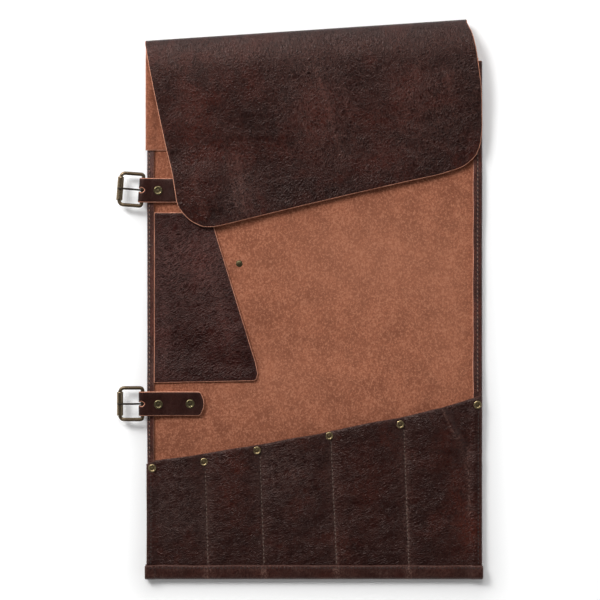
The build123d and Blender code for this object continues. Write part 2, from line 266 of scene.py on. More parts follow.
def side_flap_mid(x, y):
    z = (body_top(x, y) + 1.05 + 0.22 * ripple(x, y, size=38, seed=41)
         + 0.08 * ripple(x, y, size=14, seed=42))
    rivet_x, rivet_y = LOOP_RIVETS[1]
    z = z + 0.9 * near(np.hypot(x - rivet_x, y - rivet_y), 5.0)
    return z + 0.9 * smooth((x + 78) / 40) * (0.6 + 0.4 * np.cos((y + 20) / 26))


# --------------------------------------------------------------- materials
class Nodes:
    """Short helpers to wire a node tree."""

    def __init__(self, tree):
        self.tree = tree

    def new(self, kind):
        return self.tree.nodes.new("ShaderNode" + kind)

    def put(self, socket, value):
        if isinstance(value, (int, float)):
            socket.default_value = value
        elif isinstance(value, tuple):
            fits = len(value) == 4 or socket.type == "VECTOR"
            socket.default_value = value if fits else (*value, 1.0)
        else:
            self.tree.links.new(value, socket)

    def attribute(self, name, output="Fac"):
        node = self.new("Attribute")
        node.attribute_name = name
        return node.outputs[output]

    def noise(self, vector, scale, detail=3.0, rough=0.5, distort=0.0, output=0):
        node = self.new("TexNoise")
        self.put(node.inputs["Vector"], vector)
        node.inputs["Scale"].default_value = scale
        node.inputs["Detail"].default_value = detail
        node.inputs["Roughness"].default_value = rough
        node.inputs["Distortion"].default_value = distort
        return node.outputs[output]

    def cells(self, vector, scale):
        """Distance to the edge of the nearest Voronoi cell."""
        node = self.new("TexVoronoi")
        node.feature = "DISTANCE_TO_EDGE"
        self.put(node.inputs["Vector"], vector)
        node.inputs["Scale"].default_value = scale
        return node.outputs["Distance"]

    def math(self, operation, first, second=0.0):
        node = self.new("Math")
        node.operation = operation
        self.put(node.inputs[0], first)
        self.put(node.inputs[1], second)
        node.inputs[2].default_value = 0.0
        return node.outputs[0]

    def mul(self, first, second):
        return self.math("MULTIPLY", first, second)

    def sub(self, first, second):
        return self.math("SUBTRACT", first, second)

    def plus(self, total, term, weight):
        return self.math("ADD", total, self.mul(term, weight))

    def minus(self, total, term, weight):
        return self.sub(total, self.mul(term, weight))

    def vector_math(self, operation, first, second):
        node = self.new("VectorMath")
        node.operation = operation
        self.put(node.inputs[0], first)
        self.put(node.inputs["Scale" if operation == "SCALE" else 1], second)
        return node.outputs[0]

    def stretch(self, vector, x, y, z=1.0):
        return self.vector_math("MULTIPLY", vector, (x, y, z))

    def ramp(self, value, span, to=(0.0, 1.0)):
        """Smooth step of the value over the span, from to[0] to to[1]."""
        node = self.new("MapRange")
        node.interpolation_type = "SMOOTHSTEP"
        self.put(node.inputs[0], value)
        for i, number in enumerate((*span, *to)):
            node.inputs[i + 1].default_value = number
        return node.outputs[0]

    def mix(self, factor, first, second):
        node = self.new("Mix")
        node.data_type = "RGBA"
        self.put(node.inputs[0], factor)
        self.put(node.inputs[6], first)
        self.put(node.inputs[7], second)
        return node.outputs[2]

    def bump(self, height, distance):
        node = self.new("Bump")
        node.inputs["Strength"].default_value = 1.0
        node.inputs["Distance"].default_value = distance
        self.put(node.inputs["Height"], height)
        return node.outputs[0]

    def warp(self, vector, scale, amount):
        shift = self.noise(vector, scale, detail=2.0, output=1)
        shift = self.vector_math("SUBTRACT", shift, (0.5, 0.5, 0.5))
        return self.vector_math("ADD", vector, self.vector_math("SCALE", shift, amount))


class Material(Nodes):
    """One Principled shader; pos is the rest position in centimetres, from rco."""

    def __init__(self, name):
        self.material = bpy.data.materials.new(name)
        self.material.use_nodes = True
        super().__init__(self.material.node_tree)
        self.tree.nodes.clear()
        output = self.new("OutputMaterial")
        self.shader = self.new("BsdfPrincipled")
        self.tree.links.new(self.shader.outputs[0], output.inputs[0])
        self.pos = self.attribute("rco", "Vector")

    def shade(self, inputs):
        for name, value in inputs.items():
            self.put(self.shader.inputs[name], value)
        return self.material


def grain_leather(name, dark, mid, red, crease, wear=0.3, rough=0.31, pebble=4.6, depth=0.00018,
                  angle=75.0, lines=1.0, specular=0.28, fold=3.2, wrinkle=0.20):
    """Pebbled hide: dark pebbles, lighter creases and reddish rubbed patches.
    The first of the three attributes marks scuffs and places with painted highlights and sheen,
    red the reddish ones, and wrk the places with wrinkles, which run at the given angle in degrees."""
    mat = Material(name)
    pos = mat.pos
    rub, wrinkled, reddish = [mat.attribute(key) for key in ("rub", "wrk", "red")]
    turn = mat.new("Mapping")
    turn.inputs["Rotation"].default_value = (0, 0, math.radians(-angle))
    wavy = mat.warp(mat.warp(pos, scale=0.45, amount=0.9), scale=2.2, amount=0.25)
    mat.put(turn.inputs["Vector"], wavy)
    along = turn.outputs[0]
    warped = mat.warp(along, scale=3.0, amount=0.22)
    pebbles = mat.cells(mat.stretch(warped, 0.80, 1.20), pebble)
    small_pebbles = mat.cells(mat.warp(pos, scale=6.0, amount=0.12), pebble * 2.0)
    fine = mat.noise(pos, scale=30.0, rough=0.6)
    lumps = mat.noise(warped, scale=6.5, rough=0.6)
    gloss = mat.noise(pos, scale=4.5, rough=0.6)
    folds = mat.noise(mat.stretch(along, 0.8, 2.8), scale=1.0, detail=5.0, rough=0.62, distort=0.6)
    streak = mat.noise(mat.stretch(along, 1.1, 5.0), scale=1.0, rough=0.6)
    ridge = mat.ramp(mat.math("ABSOLUTE", mat.sub(streak, 0.5)), (0.0, 0.05), to=(1.0, 0.0))
    ridge = mat.mul(ridge, wrinkled)
    long_cells = mat.cells(mat.stretch(along, 1.0, 2.6), 1.7)
    gaps = mat.noise(pos, scale=2.3, detail=2.0)
    lined = mat.ramp(long_cells, (0.0, 0.075), to=(1.0, 0.0))
    lined = mat.mul(lined, mat.ramp(gaps, (0.36, 0.60)))
    lined = mat.mul(lined, wrinkled)
    # relief, weighted by how strongly each layer shows
    height = mat.mul(mat.ramp(pebbles, (0.0, 0.40)), 1.05)
    height = mat.plus(height, mat.ramp(small_pebbles, (0.0, 0.35)), weight=0.18)
    height = mat.plus(height, fine, weight=0.06)
    height = mat.plus(height, lumps, weight=1.1)
    height = mat.plus(height, folds, weight=fold)
    height = mat.minus(height, lined, weight=0.9)
    height = mat.minus(height, ridge, weight=0.55 + wrinkle)
    normal = mat.bump(height, depth)
    # colour
    big = mat.noise(pos, scale=0.21, detail=4.0, rough=0.6, distort=0.8)
    cloud = mat.noise(mat.vector_math("ADD", pos, (7.0, 3.0, 1.0)),
                      scale=0.75, detail=4.0, rough=0.62, distort=0.5)
    tone = mat.mix(mat.ramp(cloud, (0.34, 0.68)), dark, mid)
    patch = mat.mul(mat.ramp(big, (0.47, 0.68)), mat.ramp(cloud, (0.30, 0.62)))
    tone = mat.mix(mat.mul(patch, 0.85 * wear + 0.2), tone, red)
    reddening = mat.mul(reddish, mat.ramp(cloud, (0.28, 0.60), to=(0.35, 1.0)))
    tone = mat.mix(reddening, tone, red)
    tone = mat.mix(mat.ramp(lumps, (0.46, 0.60), to=(0.0, 0.70)), tone, dark)
    creased = mat.math("MAXIMUM", mat.ramp(folds, (0.40, 0.62), to=(0.05, 0.75)),
                       mat.mul(wrinkled, 0.75))
    edge = mat.mul(mat.ramp(pebbles, (0.0, 0.11), to=(1.0, 0.0)), creased)
    tone = mat.mix(mat.mul(edge, 0.40 * lines), tone, crease)
    tone = mat.mix(mat.mul(lined, 0.35), tone, crease)
    tone = mat.mix(mat.mul(ridge, wrinkle), tone, crease)
    # scuffs, and painted highlights and sheen, lighten the colour
    scuff_and_sheen_mask = mat.mul(rub, mat.ramp(lumps, (0.40, 0.54), to=(1.0, 0.14)))
    tone = mat.mix(mat.mul(scuff_and_sheen_mask, 0.75), tone, tuple(1.6 * v for v in crease))
    roughness = mat.plus(mat.ramp(gloss, (0.25, 0.75), to=(rough - 0.05, rough + 0.06)),
                         edge, weight=0.08)
    return mat.shade({"Normal": normal, "Base Color": tone, "Roughness": roughness,
                      "Specular IOR Level": specular, "Specular Tint": (1.0, 0.76, 0.70)})


def suede(name, base, dark, light):
    mat = Material(name)
    pos = mat.pos
    cloud = mat.noise(pos, scale=0.45, detail=5.0, rough=0.62, distort=0.4)
    patch = mat.noise(mat.warp(pos, scale=1.5, amount=0.3), scale=2.6, detail=4.0, rough=0.7)
    nap = mat.noise(mat.stretch(mat.warp(pos, scale=2.0, amount=0.15), 1.0, 0.8),
                    scale=7.5, rough=0.75)
    fibre = mat.noise(mat.stretch(mat.warp(pos, scale=8.0, amount=0.1), 1.0, 1.6),
                      scale=30.0, detail=2.0, rough=0.7)
    tone = mat.mix(mat.ramp(cloud, (0.32, 0.68)), dark, base)
    tone = mat.mix(mat.ramp(patch, (0.46, 0.74), to=(0.0, 0.45)), tone, light)
    tone = mat.mix(mat.ramp(nap, (0.47, 0.66), to=(0.0, 0.72)), tone, light)
    tone = mat.mix(mat.ramp(nap, (0.32, 0.52), to=(0.90, 0.0)), tone, dark)
    # scuffs and painted sheen lighten the suede
    rub = mat.attribute("rub")
    tone = mat.mix(mat.mul(rub, 0.5), tone, light)
    height = mat.plus(mat.mul(nap, 1.3), fibre, weight=0.5)
    height = mat.plus(height, patch, weight=1.2)
    return mat.shade({"Base Color": tone, "Roughness": 0.95, "Specular IOR Level": 0.12,
                      "Sheen Weight": 0.12, "Sheen Roughness": 0.6,
                      "Sheen Tint": (1.0, 0.75, 0.6), "Normal": mat.bump(height, 0.00022)})


def raw_edge(name, first, second):
    mat = Material(name)
    fibre = mat.noise(mat.stretch(mat.pos, 1.0, 1.0, 4.0), scale=9.0, detail=4.0, rough=0.7)
    stain = mat.noise(mat.pos, scale=2.0, detail=2.0)
    tone = mat.mix(mat.ramp(fibre, (0.35, 0.7)), first, second)
    tone = mat.mix(mat.ramp(stain, (0.5, 0.75), to=(0.0, 0.5)), tone, (0.13, 0.045, 0.028))
    return mat.shade({"Base Color": tone, "Roughness": 0.8, "Specular IOR Level": 0.2,
                      "Normal": mat.bump(fibre, 0.00025)})


def thread(name, first, second):
    mat = Material(name)
    twist = mat.new("TexWave")
    twist.wave_type = "BANDS"
    twist.bands_direction = "DIAGONAL"
    mat.put(twist.inputs["Vector"], mat.pos)
    twist.inputs["Scale"].default_value = 9.0
    twist.inputs["Distortion"].default_value = 0.6
    bands = twist.outputs["Fac"]
    return mat.shade({"Base Color": mat.mix(bands, first, second), "Roughness": 0.6,
                      "Normal": mat.bump(bands, 0.00012)})


def brass(name, bright, mid, dark):
    """Antique brass: bright where rubbed (the wear attribute), patina in the hollows."""
    mat = Material(name)
    wear = mat.attribute("wear")
    cloud = mat.noise(mat.pos, scale=7.0, detail=5.0, rough=0.7)
    specks = mat.noise(mat.pos, scale=30.0, rough=0.6)
    polish = mat.plus(wear, mat.sub(cloud, 0.5), weight=0.9)
    tone = mat.mix(mat.ramp(polish, (0.05, 0.45)), dark, mid)
    tone = mat.mix(mat.ramp(polish, (0.55, 0.95)), tone, bright)
    tone = mat.mix(mat.ramp(specks, (0.55, 0.8), to=(0.0, 0.5)), tone, dark)
    return mat.shade({"Base Color": tone, "Metallic": 0.92,
                      "Roughness": mat.ramp(polish, (0.1, 0.9), to=(0.55, 0.27)),
                      "Normal": mat.bump(specks, 0.00005)})


M_FLAP = grain_leather(
    "leather_flap", dark=(0.0060, 0.0012, 0.0010), mid=(0.0135, 0.0028, 0.0021),
    red=(0.044, 0.0060, 0.0030), crease=(0.105, 0.047, 0.038),
    wear=0.5, angle=78.0, specular=0.25, wrinkle=0.32)
M_SIDE = grain_leather(
    "leather_side_flap", dark=(0.0080, 0.0011, 0.0009), mid=(0.0160, 0.0026, 0.0020),
    red=(0.040, 0.0055, 0.0034), crease=(0.125, 0.055, 0.047),
    angle=30.0, specular=0.20, fold=2.0, wrinkle=0.50)
M_POCKET = grain_leather(
    "leather_pocket", dark=(0.0105, 0.0024, 0.0020), mid=(0.0195, 0.0048, 0.0038),
    red=(0.050, 0.0080, 0.0040), crease=(0.120, 0.066, 0.054),
    angle=20.0, lines=0.65, specular=0.25, fold=1.2)
M_STRAP = grain_leather(
    "leather_strap", dark=(0.0135, 0.0034, 0.0027), mid=(0.0210, 0.0056, 0.0042),
    red=(0.036, 0.0080, 0.0050), crease=(0.10, 0.050, 0.040),
    rough=0.38, pebble=7.0, depth=0.00006, specular=0.20, lines=0.4)
M_BIND = grain_leather(
    "leather_binding", dark=(0.0190, 0.0048, 0.0038), mid=(0.0330, 0.0085, 0.0066),
    red=(0.042, 0.0100, 0.0065), crease=(0.17, 0.100, 0.080),
    rough=0.34, pebble=6.0, depth=0.00009, lines=0.5)
M_HEM = grain_leather(
    "leather_hem", dark=(0.024, 0.0085, 0.0068), mid=(0.058, 0.0160, 0.0120),
    red=(0.086, 0.0210, 0.0135), crease=(0.25, 0.125, 0.105),
    wear=0.5, pebble=6.0, depth=0.00010)
M_SUEDE = suede("suede_inside", base=(0.298, 0.102, 0.054), dark=(0.190, 0.060, 0.031),
                light=(0.440, 0.180, 0.105))
# darker copy of the suede for the flap: painted shade under the flap
M_SUEDE_SHADED = suede("suede_painted_shade", base=(0.262, 0.088, 0.047), dark=(0.178, 0.056, 0.029),
                     light=(0.380, 0.150, 0.088))
M_EDGE = raw_edge("raw_cut_edge", (0.62, 0.30, 0.20), (0.34, 0.125, 0.072))
M_EDGE_MID = raw_edge("burnished_cut_edge", (0.22, 0.105, 0.072), (0.085, 0.036, 0.025))
# dark cut edge; on the binding it paints the shadow line along the top
M_EDGE_DARK = raw_edge("dark_edge_and_shadow_line", (0.085, 0.034, 0.024), (0.030, 0.011, 0.008))
M_THREAD = thread("waxed_thread", (0.040, 0.018, 0.013), (0.012, 0.0055, 0.0045))
M_THREAD_LIGHT = thread("waxed_thread_light", (0.190, 0.125, 0.098), (0.050, 0.030, 0.022))
M_THREAD_BROWN = thread("waxed_thread_brown", (0.300, 0.180, 0.135), (0.120, 0.065, 0.046))
M_BRASS = brass("antique_brass", bright=(0.36, 0.275, 0.145), mid=(0.175, 0.128, 0.064),
                dark=(0.040, 0.028, 0.016))
M_BRONZE = brass("buckle_brass", bright=(0.235, 0.175, 0.110), mid=(0.085, 0.060, 0.036),
                 dark=(0.018, 0.012, 0.008))
M_PRONG = brass("prong_dark", bright=(0.14, 0.11, 0.08), mid=(0.045, 0.034, 0.024),
                dark=(0.012, 0.009, 0.007))
M_STUD = brass("stud_brass", bright=(0.190, 0.155, 0.078), mid=(0.095, 0.075, 0.037),
               dark=(0.036, 0.028, 0.016))


# ------------------------------------------------------------ flat outlines
def circle(cx, cy, radius, count=12):
    angles = [2 * math.pi * i / count for i in range(count)]
    return [(cx + radius * math.cos(a), cy + radius * math.sin(a)) for a in angles]


def arc(cx, cy, radius, start, end, count):
    """Points from start to end degrees."""
    angles = [math.radians(a) for a in np.linspace(start, end, count)]
    return [(cx + radius * math.cos(a), cy + radius * math.sin(a)) for a in angles]


def clip_x(points, x0, x1):
    for limit, keep in ((x0, 1), (x1, -1)):
        clipped = []
        for i, here in enumerate(points):
            after = points[(i + 1) % len(points)]
            here_in, after_in = [keep * (p[0] - limit) >= 0 for p in (here, after)]
            if here_in:
                clipped.append(here)
            if here_in != after_in:
                t = (limit - here[0]) / (after[0] - here[0])
                clipped.append((limit, here[1] + t * (after[1] - here[1])))
        points = clipped
    clean = []
    for point in points:
        if not clean or math.dist(point, clean[-1]) > 1e-3:
            clean.append(point)
    if len(clean) > 2 and math.dist(clean[0], clean[-1]) < 1e-3:
        clean.pop()
    return clean


def clip_y(points, y0, y1):
    return [(x, y) for y, x in clip_x([(y, x) for x, y in points], y0, y1)]


def area(points):
    return sum(a[0] * b[1] - b[0] * a[1] for a, b in zip(points, points[1:] + points[:1])) / 2


def divide(start, end, step):
    """Even points about a step apart, from start up to but without end."""
    count = max(1, step(math.dist(start, end)))
    return [(start[0] + (end[0] - start[0]) * j / count,
             start[1] + (end[1] - start[1]) * j / count) for j in range(count)]


def resample(points, step):
    resampled = []
    for start, end in zip(points, points[1:] + points[:1]):
        resampled += divide(start, end, lambda length: int(round(length / step)))
    return resampled


def resample_open(points, step):
    resampled = []
    for start, end in zip(points, points[1:]):
        resampled += divide(start, end, lambda length: int(length / step))
    return resampled + [points[-1]]


def inside(x, y, polygon):
    result = np.zeros(x.shape, bool)
    for (ax, ay), (bx, by) in zip(polygon, polygon[1:] + polygon[:1]):
        if ay != by:
            result ^= ((ay > y) != (by > y)) & (x < (bx - ax) * (y - ay) / (by - ay) + ax)
    return result


def outline_distance(x, y, polygon):
    distance = np.full(x.shape, 1e9)
    for start, end in zip(polygon, polygon[1:] + polygon[:1]):
        if start != end:
            distance = np.minimum(distance, line_distance(x, y, start, end))
    return distance


# ------------------------------------------------------------ leather sheets
def make_object(name, points, faces, materials, material_index=None, rest=None, attributes=None,
                sharp=50.0):
    points = np.asarray(points, float)
    mesh = bpy.data.meshes.new(name)
    mesh.from_pydata(((points + np.array([ORIGIN_X, ORIGIN_Y, 0])) / 1000).tolist(), [], faces)
    for material in materials:
        mesh.materials.append(material)
    if material_index is not None:
        mesh.polygons.foreach_set("material_index", np.asarray(material_index, np.int32))
    mesh.polygons.foreach_set("use_smooth", np.ones(len(mesh.polygons), bool))
    rest = (points if rest is None else rest) / 10.0
    data = mesh.attributes.new("rco", "FLOAT_VECTOR", "POINT").data
    data.foreach_set("vector", rest.astype(np.float32).ravel())
    for key, values in (attributes or {}).items():
        data = mesh.attributes.new(key, "FLOAT", "POINT").data
        data.foreach_set("value", np.asarray(values, np.float32))
    mesh.validate()
    mesh.set_sharp_from_angle(angle=math.radians(sharp))
    piece = bpy.data.objects.new(name, mesh)
    bpy.context.scene.collection.objects.link(piece)
    return piece


def inner_points(outline, holes, lines, grid):
    """Points inside the outline: a triangular grid, and five denser rows along each line."""
    xs, ys = zip(*outline)
    rows_x, rows_y = [], []
    y = math.floor(min(ys) / grid) * grid
    while y < max(ys) + grid:
        shift = 0.5 * grid if len(rows_x) % 2 else 0
        row = np.arange(math.floor(min(xs) / grid) * grid + shift, max(xs) + grid, grid)
        rows_x.append(row)
        rows_y.append(np.full(row.shape, y))
        y += grid * 0.866
    x, y = np.concatenate(rows_x), np.concatenate(rows_y)
    keep = inside(x, y, outline) & (outline_distance(x, y, outline) > 0.62 * grid)
    for hole in holes:
        keep &= ~inside(x, y, hole) & (outline_distance(x, y, hole) > 0.5 * grid)
    row_gap = 1.6
    line_x, line_y = [], []
    for start, end in lines:
        keep &= line_distance(x, y, start, end) > row_gap + 0.4
        length = math.dist(start, end)
        dx, dy = (end[0] - start[0]) / length, (end[1] - start[1]) / length
        t = np.linspace(0, length, max(2, int(length / 1.8)) + 1)
        for offset in (-row_gap, -0.7, 0.0, 0.7, row_gap):
            line_x.append(start[0] + dx * t - dy * offset)
            line_y.append(start[1] + dy * t + dx * offset)
    x, y = x[keep], y[keep]
    if line_x:
        line_x, line_y = np.concatenate(line_x), np.concatenate(line_y)
        keep = inside(line_x, line_y, outline)
        keep &= outline_distance(line_x, line_y, outline) > 0.9
        x, y = np.concatenate([x, line_x[keep]]), np.concatenate([y, line_y[keep]])
    return x, y


def inset_loop(loop, on_cut, bevel):
    """The loop moved inwards by the bevel, but not away from a cut line."""
    inset = []
    for i, here in enumerate(loop):
        before, after = loop[i - 1], loop[(i + 1) % len(loop)]
        cut_before = on_cut(here) and on_cut(before)
        cut_after = on_cut(here) and on_cut(after)
        if cut_before and cut_after:
            inset.append(here)
        elif cut_before or cut_after:
            target = before if cut_before else after
            length = math.dist(here, target)
            inset.append((here[0] + (target[0] - here[0]) / length * bevel,
                          here[1] + (target[1] - here[1]) / length * bevel))
        else:
            ax, ay = here[0] - before[0], here[1] - before[1]
            bx, by = after[0] - here[0], after[1] - here[1]
            a_length, b_length = math.hypot(ax, ay) or 1, math.hypot(bx, by) or 1
            nx, ny = -(ay / a_length + by / b_length), ax / a_length + bx / b_length
            length = math.hypot(nx, ny) or 1
            mitre = max(0.5, length / 2)
            inset.append((here[0] + nx / length * bevel / mitre,
                          here[1] + ny / length * bevel / mitre))
    return inset


def plain_marks(x, y):
    return 0.0, 0.25, 0.0


def sheet(name, outline, surface, thick, materials, grid, step, holes=(), cuts=(), y_cuts=(),
          bevel=0.5, lines=(), rub=0.0, rest_shift=(0, 0, 0), marks=plain_marks, whole=None):
    """A closed sheet of leather: outline in the flat pattern, surface gives the middle surface.
    The materials are the face on the side of the surface's normal, the other face and the cut
    edge. Edges on a cut line stay square, so neighbours meet without a groove.
    The marks give three attributes: scuffs with painted highlights, wrk and red; whole is the
    outline that gets rubbed."""
    if area(outline) < 0:
        outline = outline[::-1]
    loops = [resample(outline, step)]
    for hole in holes:
        loops.append(resample(hole if area(hole) < 0 else hole[::-1], min(step, 1.0)))

    def on_cut(point):
        return (any(abs(point[0] - c) < 1e-6 for c in cuts)
                or any(abs(point[1] - c) < 1e-6 for c in y_cuts))

    # boundary rings: inset loop on both faces, full loop on the edge
    inset, full, ring_edges, hole_spans = [], [], [], []
    for loop in loops:
        start, end = len(inset), len(inset) + len(loop)
        inset += inset_loop(loop, on_cut, bevel)
        full += loop
        ring_edges += [(i, i + 1 if i + 1 < end else start) for i in range(start, end)]
        hole_spans.append((start, end))
    ring_count = len(inset)
    grid_x, grid_y = inner_points(outline, holes, lines, grid)
    flat = [Vector(p) for p in inset] + [Vector((float(x), float(y)))
                                         for x, y in zip(grid_x, grid_y)]
    flat, _, triangles, sources, _, _ = delaunay_2d_cdt(flat, ring_edges, [], 1, 1e-5)
    centres = np.array([[sum(flat[i].x for i in f) / 3, sum(flat[i].y for i in f) / 3]
                        for f in triangles])
    keep = np.ones(len(triangles), bool)
    for start, end in hole_spans[1:]:
        keep &= ~inside(centres[:, 0], centres[:, 1], inset[start:end])
    new_index = {old: i for i, olds in enumerate(sources) for old in olds}
    face_uv = np.array([[v.x, v.y] for v in flat])
    count = len(face_uv)
    uv = np.vstack([face_uv, np.array(full)])
    # neighbours that meet on a cut line stay 6 microns apart, so they don't count as touching
    middle = np.mean(np.array(outline), axis=0)
    for axis, axis_cuts in ((0, cuts), (1, y_cuts)):
        for cut in axis_cuts:
            on_line = np.abs(uv[:, axis] - cut) < 1e-5
            uv[on_line, axis] += 0.003 * (1 if middle[axis] > cut else -1)

    def lift(at):
        return np.stack(np.broadcast_arrays(*surface(at[:, 0], at[:, 1])), 1).astype(float)

    probe = 0.25
    mid = lift(uv)
    normal = np.cross(lift(uv + [probe, 0]) - lift(uv - [probe, 0]),
                      lift(uv + [0, probe]) - lift(uv - [0, probe]))
    normal /= np.linalg.norm(normal, axis=1)[:, None]
    face_mid, ring_mid = mid[:count], mid[count:]
    face_out = normal[:count] * thick / 2
    ring_out = normal[count:] * (thick / 2 - min(0.42, thick * 0.3))
    points = np.vstack([face_mid + face_out, face_mid - face_out,
                        ring_mid + ring_out, ring_mid - ring_out])
    faces, material_index = [], []
    for triangle, kept in zip(triangles, keep):
        if kept:
            a, b, c = triangle
            faces += [(a, b, c), (c + count, b + count, a + count)]
            material_index += [0, 1]
    for i, j in ring_edges:
        a, b = new_index[i], new_index[j]
        top_a, top_b = 2 * count + i, 2 * count + j
        low_a, low_b = top_a + ring_count, top_b + ring_count
        faces += [(b, a, top_a, top_b), (top_b, top_a, low_a, low_b),
                  (low_b, low_a, a + count, b + count)]
        material_index += [2, 2, 2]

    def both_faces(value, edge=0.0):
        value = np.broadcast_to(value, count)
        return np.concatenate([value, value, np.full(2 * ring_count, edge)])

    edge_rub = rub * near(outline_distance(face_uv[:, 0], face_uv[:, 1], whole or outline), 1.6)
    if not whole:
        for cut in cuts:
            edge_rub[np.abs(face_uv[:, 0] - cut) < 4.0] = 0
    # the first mark holds scuffs and painted highlights
    scuffs_and_sheen, wrinkled, reddish = marks(face_mid[:, 0], face_mid[:, 1])
    attributes = {"rub": both_faces(np.maximum(edge_rub, scuffs_and_sheen)),
                  "wrk": both_faces(wrinkled, edge=0.25), "red": both_faces(reddish)}
    rest = np.column_stack([uv, np.zeros(len(uv))]) + np.array(rest_shift)
    face_rest, ring_rest = rest[:count], rest[count:]
    rest = np.vstack([face_rest + [0, 0, 0.8], face_rest - [0, 0, 0.8],
                      ring_rest + [0, 0, 0.5], ring_rest - [0, 0, 0.5]])
    return make_object(name, points, faces, materials, material_index, rest, attributes)


def bend(piece):
    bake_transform(piece)


def attach(piece, slot, *replaced, body=None, zone=None):
    """Makes the piece ride a body if one is given, bakes its transform if it has a roll zone, and
    hides the pieces it replaces; the slot is not used.
    """
    if body:
        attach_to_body(piece, body)
    if zone is not None:
        bend(piece)
    if replaced:
        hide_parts(*replaced)


def zoned_sheet(name, outline, surface, thick, materials, slot, cad=None, lines=(), holes=(),
                **options):
    """A sheet cut into one piece for each roll zone; cad begins the names it replaces."""
    limits = [-1e3, *CUTS, 1e3]
    for i, zone in enumerate(ZONES):
        x0, x1 = limits[i], limits[i + 1]
        part = clip_x(outline, x0, x1)
        if len(part) < 3 or abs(area(part)) < 2.0:
            continue
        zone_lines = [(a, b) for a, b in lines if max(a[0], b[0]) > x0 and min(a[0], b[0]) < x1]
        zone_holes = [hole for hole in holes if x0 < sum(p[0] for p in hole) / len(hole) < x1]
        piece = sheet(f"{name}_{zone}", part, surface, thick, materials, cuts=CUTS,
                      lines=zone_lines, holes=zone_holes, **options)
        replaced = []
        if cad:
            replaced = [f"{cad}_1", f"{cad}_2"] if i == 0 else [f"{cad}_{i + 2}"]
        attach(piece, slot, *replaced, zone=i)


# ------------------------------------------------- scuffs and painted highlights, wrinkle and red marks
# Ovals are rows of gain, centre x, y, radius x, y and turn
FLAP_WRINKLES = [
    (1.0, 12, 158, 26, 46, 10), (0.8, 100, 165, 40, 34, 0), (1.0, -48, 88, 14, 40, 8),
    (0.5, -92, 160, 22, 38, 0), (0.35, 60, 120, 50, 16, 0)]
FLAP_RED = [
    (0.9, -86, 150, 22, 22, 0), (0.9, 14, 150, 18, 30, -20), (0.7, -60, 120, 34, 14, 0),
    (0.8, 88, 172, 20, 20, 0), (0.7, 62, 148, 26, 12, 0), (0.6, -40, 176, 16, 14, 0),
    (0.7, -88, 96, 12, 18, 0), (0.6, 60, 112, 30, 12, 0)]
# Scuffed lines: start, end, gain, width
FLAP_SCUFFS = [
    ((12, 190), (26, 146), 0.5, 1.8), ((26, 146), (33, 118), 0.35, 1.6),
    ((-52, 118), (-46, 72), 0.50, 1.8), ((-58, 112), (-52, 76), 0.35, 1.5),
    ((-88, 104), (-80, 72), 0.28, 1.6), ((96, 196), (84, 140), 0.28, 2.4),
    ((118, 190), (126, 150), 0.28, 2.0), ((34, 180), (40, 150), 0.25, 1.5)]
SIDE_WRINKLES = [(1.0, -100, 34, 30, 26, 30), (0.6, -72, 22, 18, 30, 0),
                 (0.35, -108, -40, 14, 28, 0), (0.3, -58, -30, 12, 26, 0)]
SIDE_RUBS = [(0.26, -78, 40, 5, 30, -8), (0.22, -113, -20, 5, 40, 0), (0.2, -66, -4, 6, 24, 16)]
SIDE_RED = [(0.7, -84, 36, 12, 20, 0), (0.5, -62, -30, 16, 26, 0)]
POCKET_WRINKLES = [(0.5, -15, -140, 24, 26, 0), (0.4, -100, -170, 30, 30, 0)]
POCKET_RED = [(1.0, 138, -188, 14, 24, 12), (0.6, 128, -150, 10, 26, 10),
              (0.45, -58, -150, 14, 24, 0), (0.4, 55, -150, 20, 30, 0)]
# lighter lines below the crease and along the hem's inner edge: painted highlight
POCKET_PAINTED_HIGHLIGHTS = [((137.5, -122), (138.5, -176), 0.60, 1.4), ((128, -112), (137.5, -140), 0.22, 2.5)]
BODY_RUBS = [(0.45, 62, 36, 70, 42, 0), (0.3, -30, -60, 50, 26, 0), (0.25, 120, -20, 22, 60, 0)]


def add_scuff_and_highlight_lines(rub, x, y, rows):
    for start, end, gain, width in rows:
        rub = np.maximum(rub, gain * near(line_distance(x, y, start, end), width))
    return rub


def flap_marks(x, y):
    t = -from_fold(x, y)
    wrinkled = blobs(x, y, FLAP_WRINKLES, base=0.25) + 0.35 * near(t - 14, 11)
    # a painted sheen along the band where the fold curves, plus the scuffed lines
    rub = add_scuff_and_highlight_lines(0.17 * near(t - 15, 8), x, y, FLAP_SCUFFS)
    return rub, np.clip(wrinkled, 0, 1.1), np.clip(blobs(x, y, FLAP_RED), 0, 1)


def side_marks(x, y):
    return (blobs(x, y, SIDE_RUBS), np.clip(blobs(x, y, SIDE_WRINKLES, base=0.12), 0, 1.1),
            np.clip(blobs(x, y, SIDE_RED), 0, 1))


def pocket_marks(x, y):
    rub = np.zeros_like(x)
    for line, gain in zip(DIVIDERS, (0.8, 0.5, 0.65, 0.9)):
        low = smooth((line[0][1] - y - 8) / 50)
        distance = line_distance(x, y, *line)
        # lighter streaks along the dividers: wear, and painted highlight on the bulges beside them
        rub = np.maximum(rub, gain * (0.55 + 0.45 * low) * near(distance, 1.3))
        rub = np.maximum(rub, 0.24 * gain * near(distance, 5.0))
    # the crease line, then the painted highlight lines beside it
    bent = np.minimum(line_distance(x, y, (116.5, -90), (121.0, -101)),
                      line_distance(x, y, (121.0, -101), (129.5, -116)))
    rub = add_scuff_and_highlight_lines(np.maximum(rub, 0.95 * near(bent, 0.5)), x, y, POCKET_PAINTED_HIGHLIGHTS)
    return (rub, np.clip(blobs(x, y, POCKET_WRINKLES, base=0.30), 0, 1.1),
            np.clip(blobs(x, y, POCKET_RED), 0, 1))


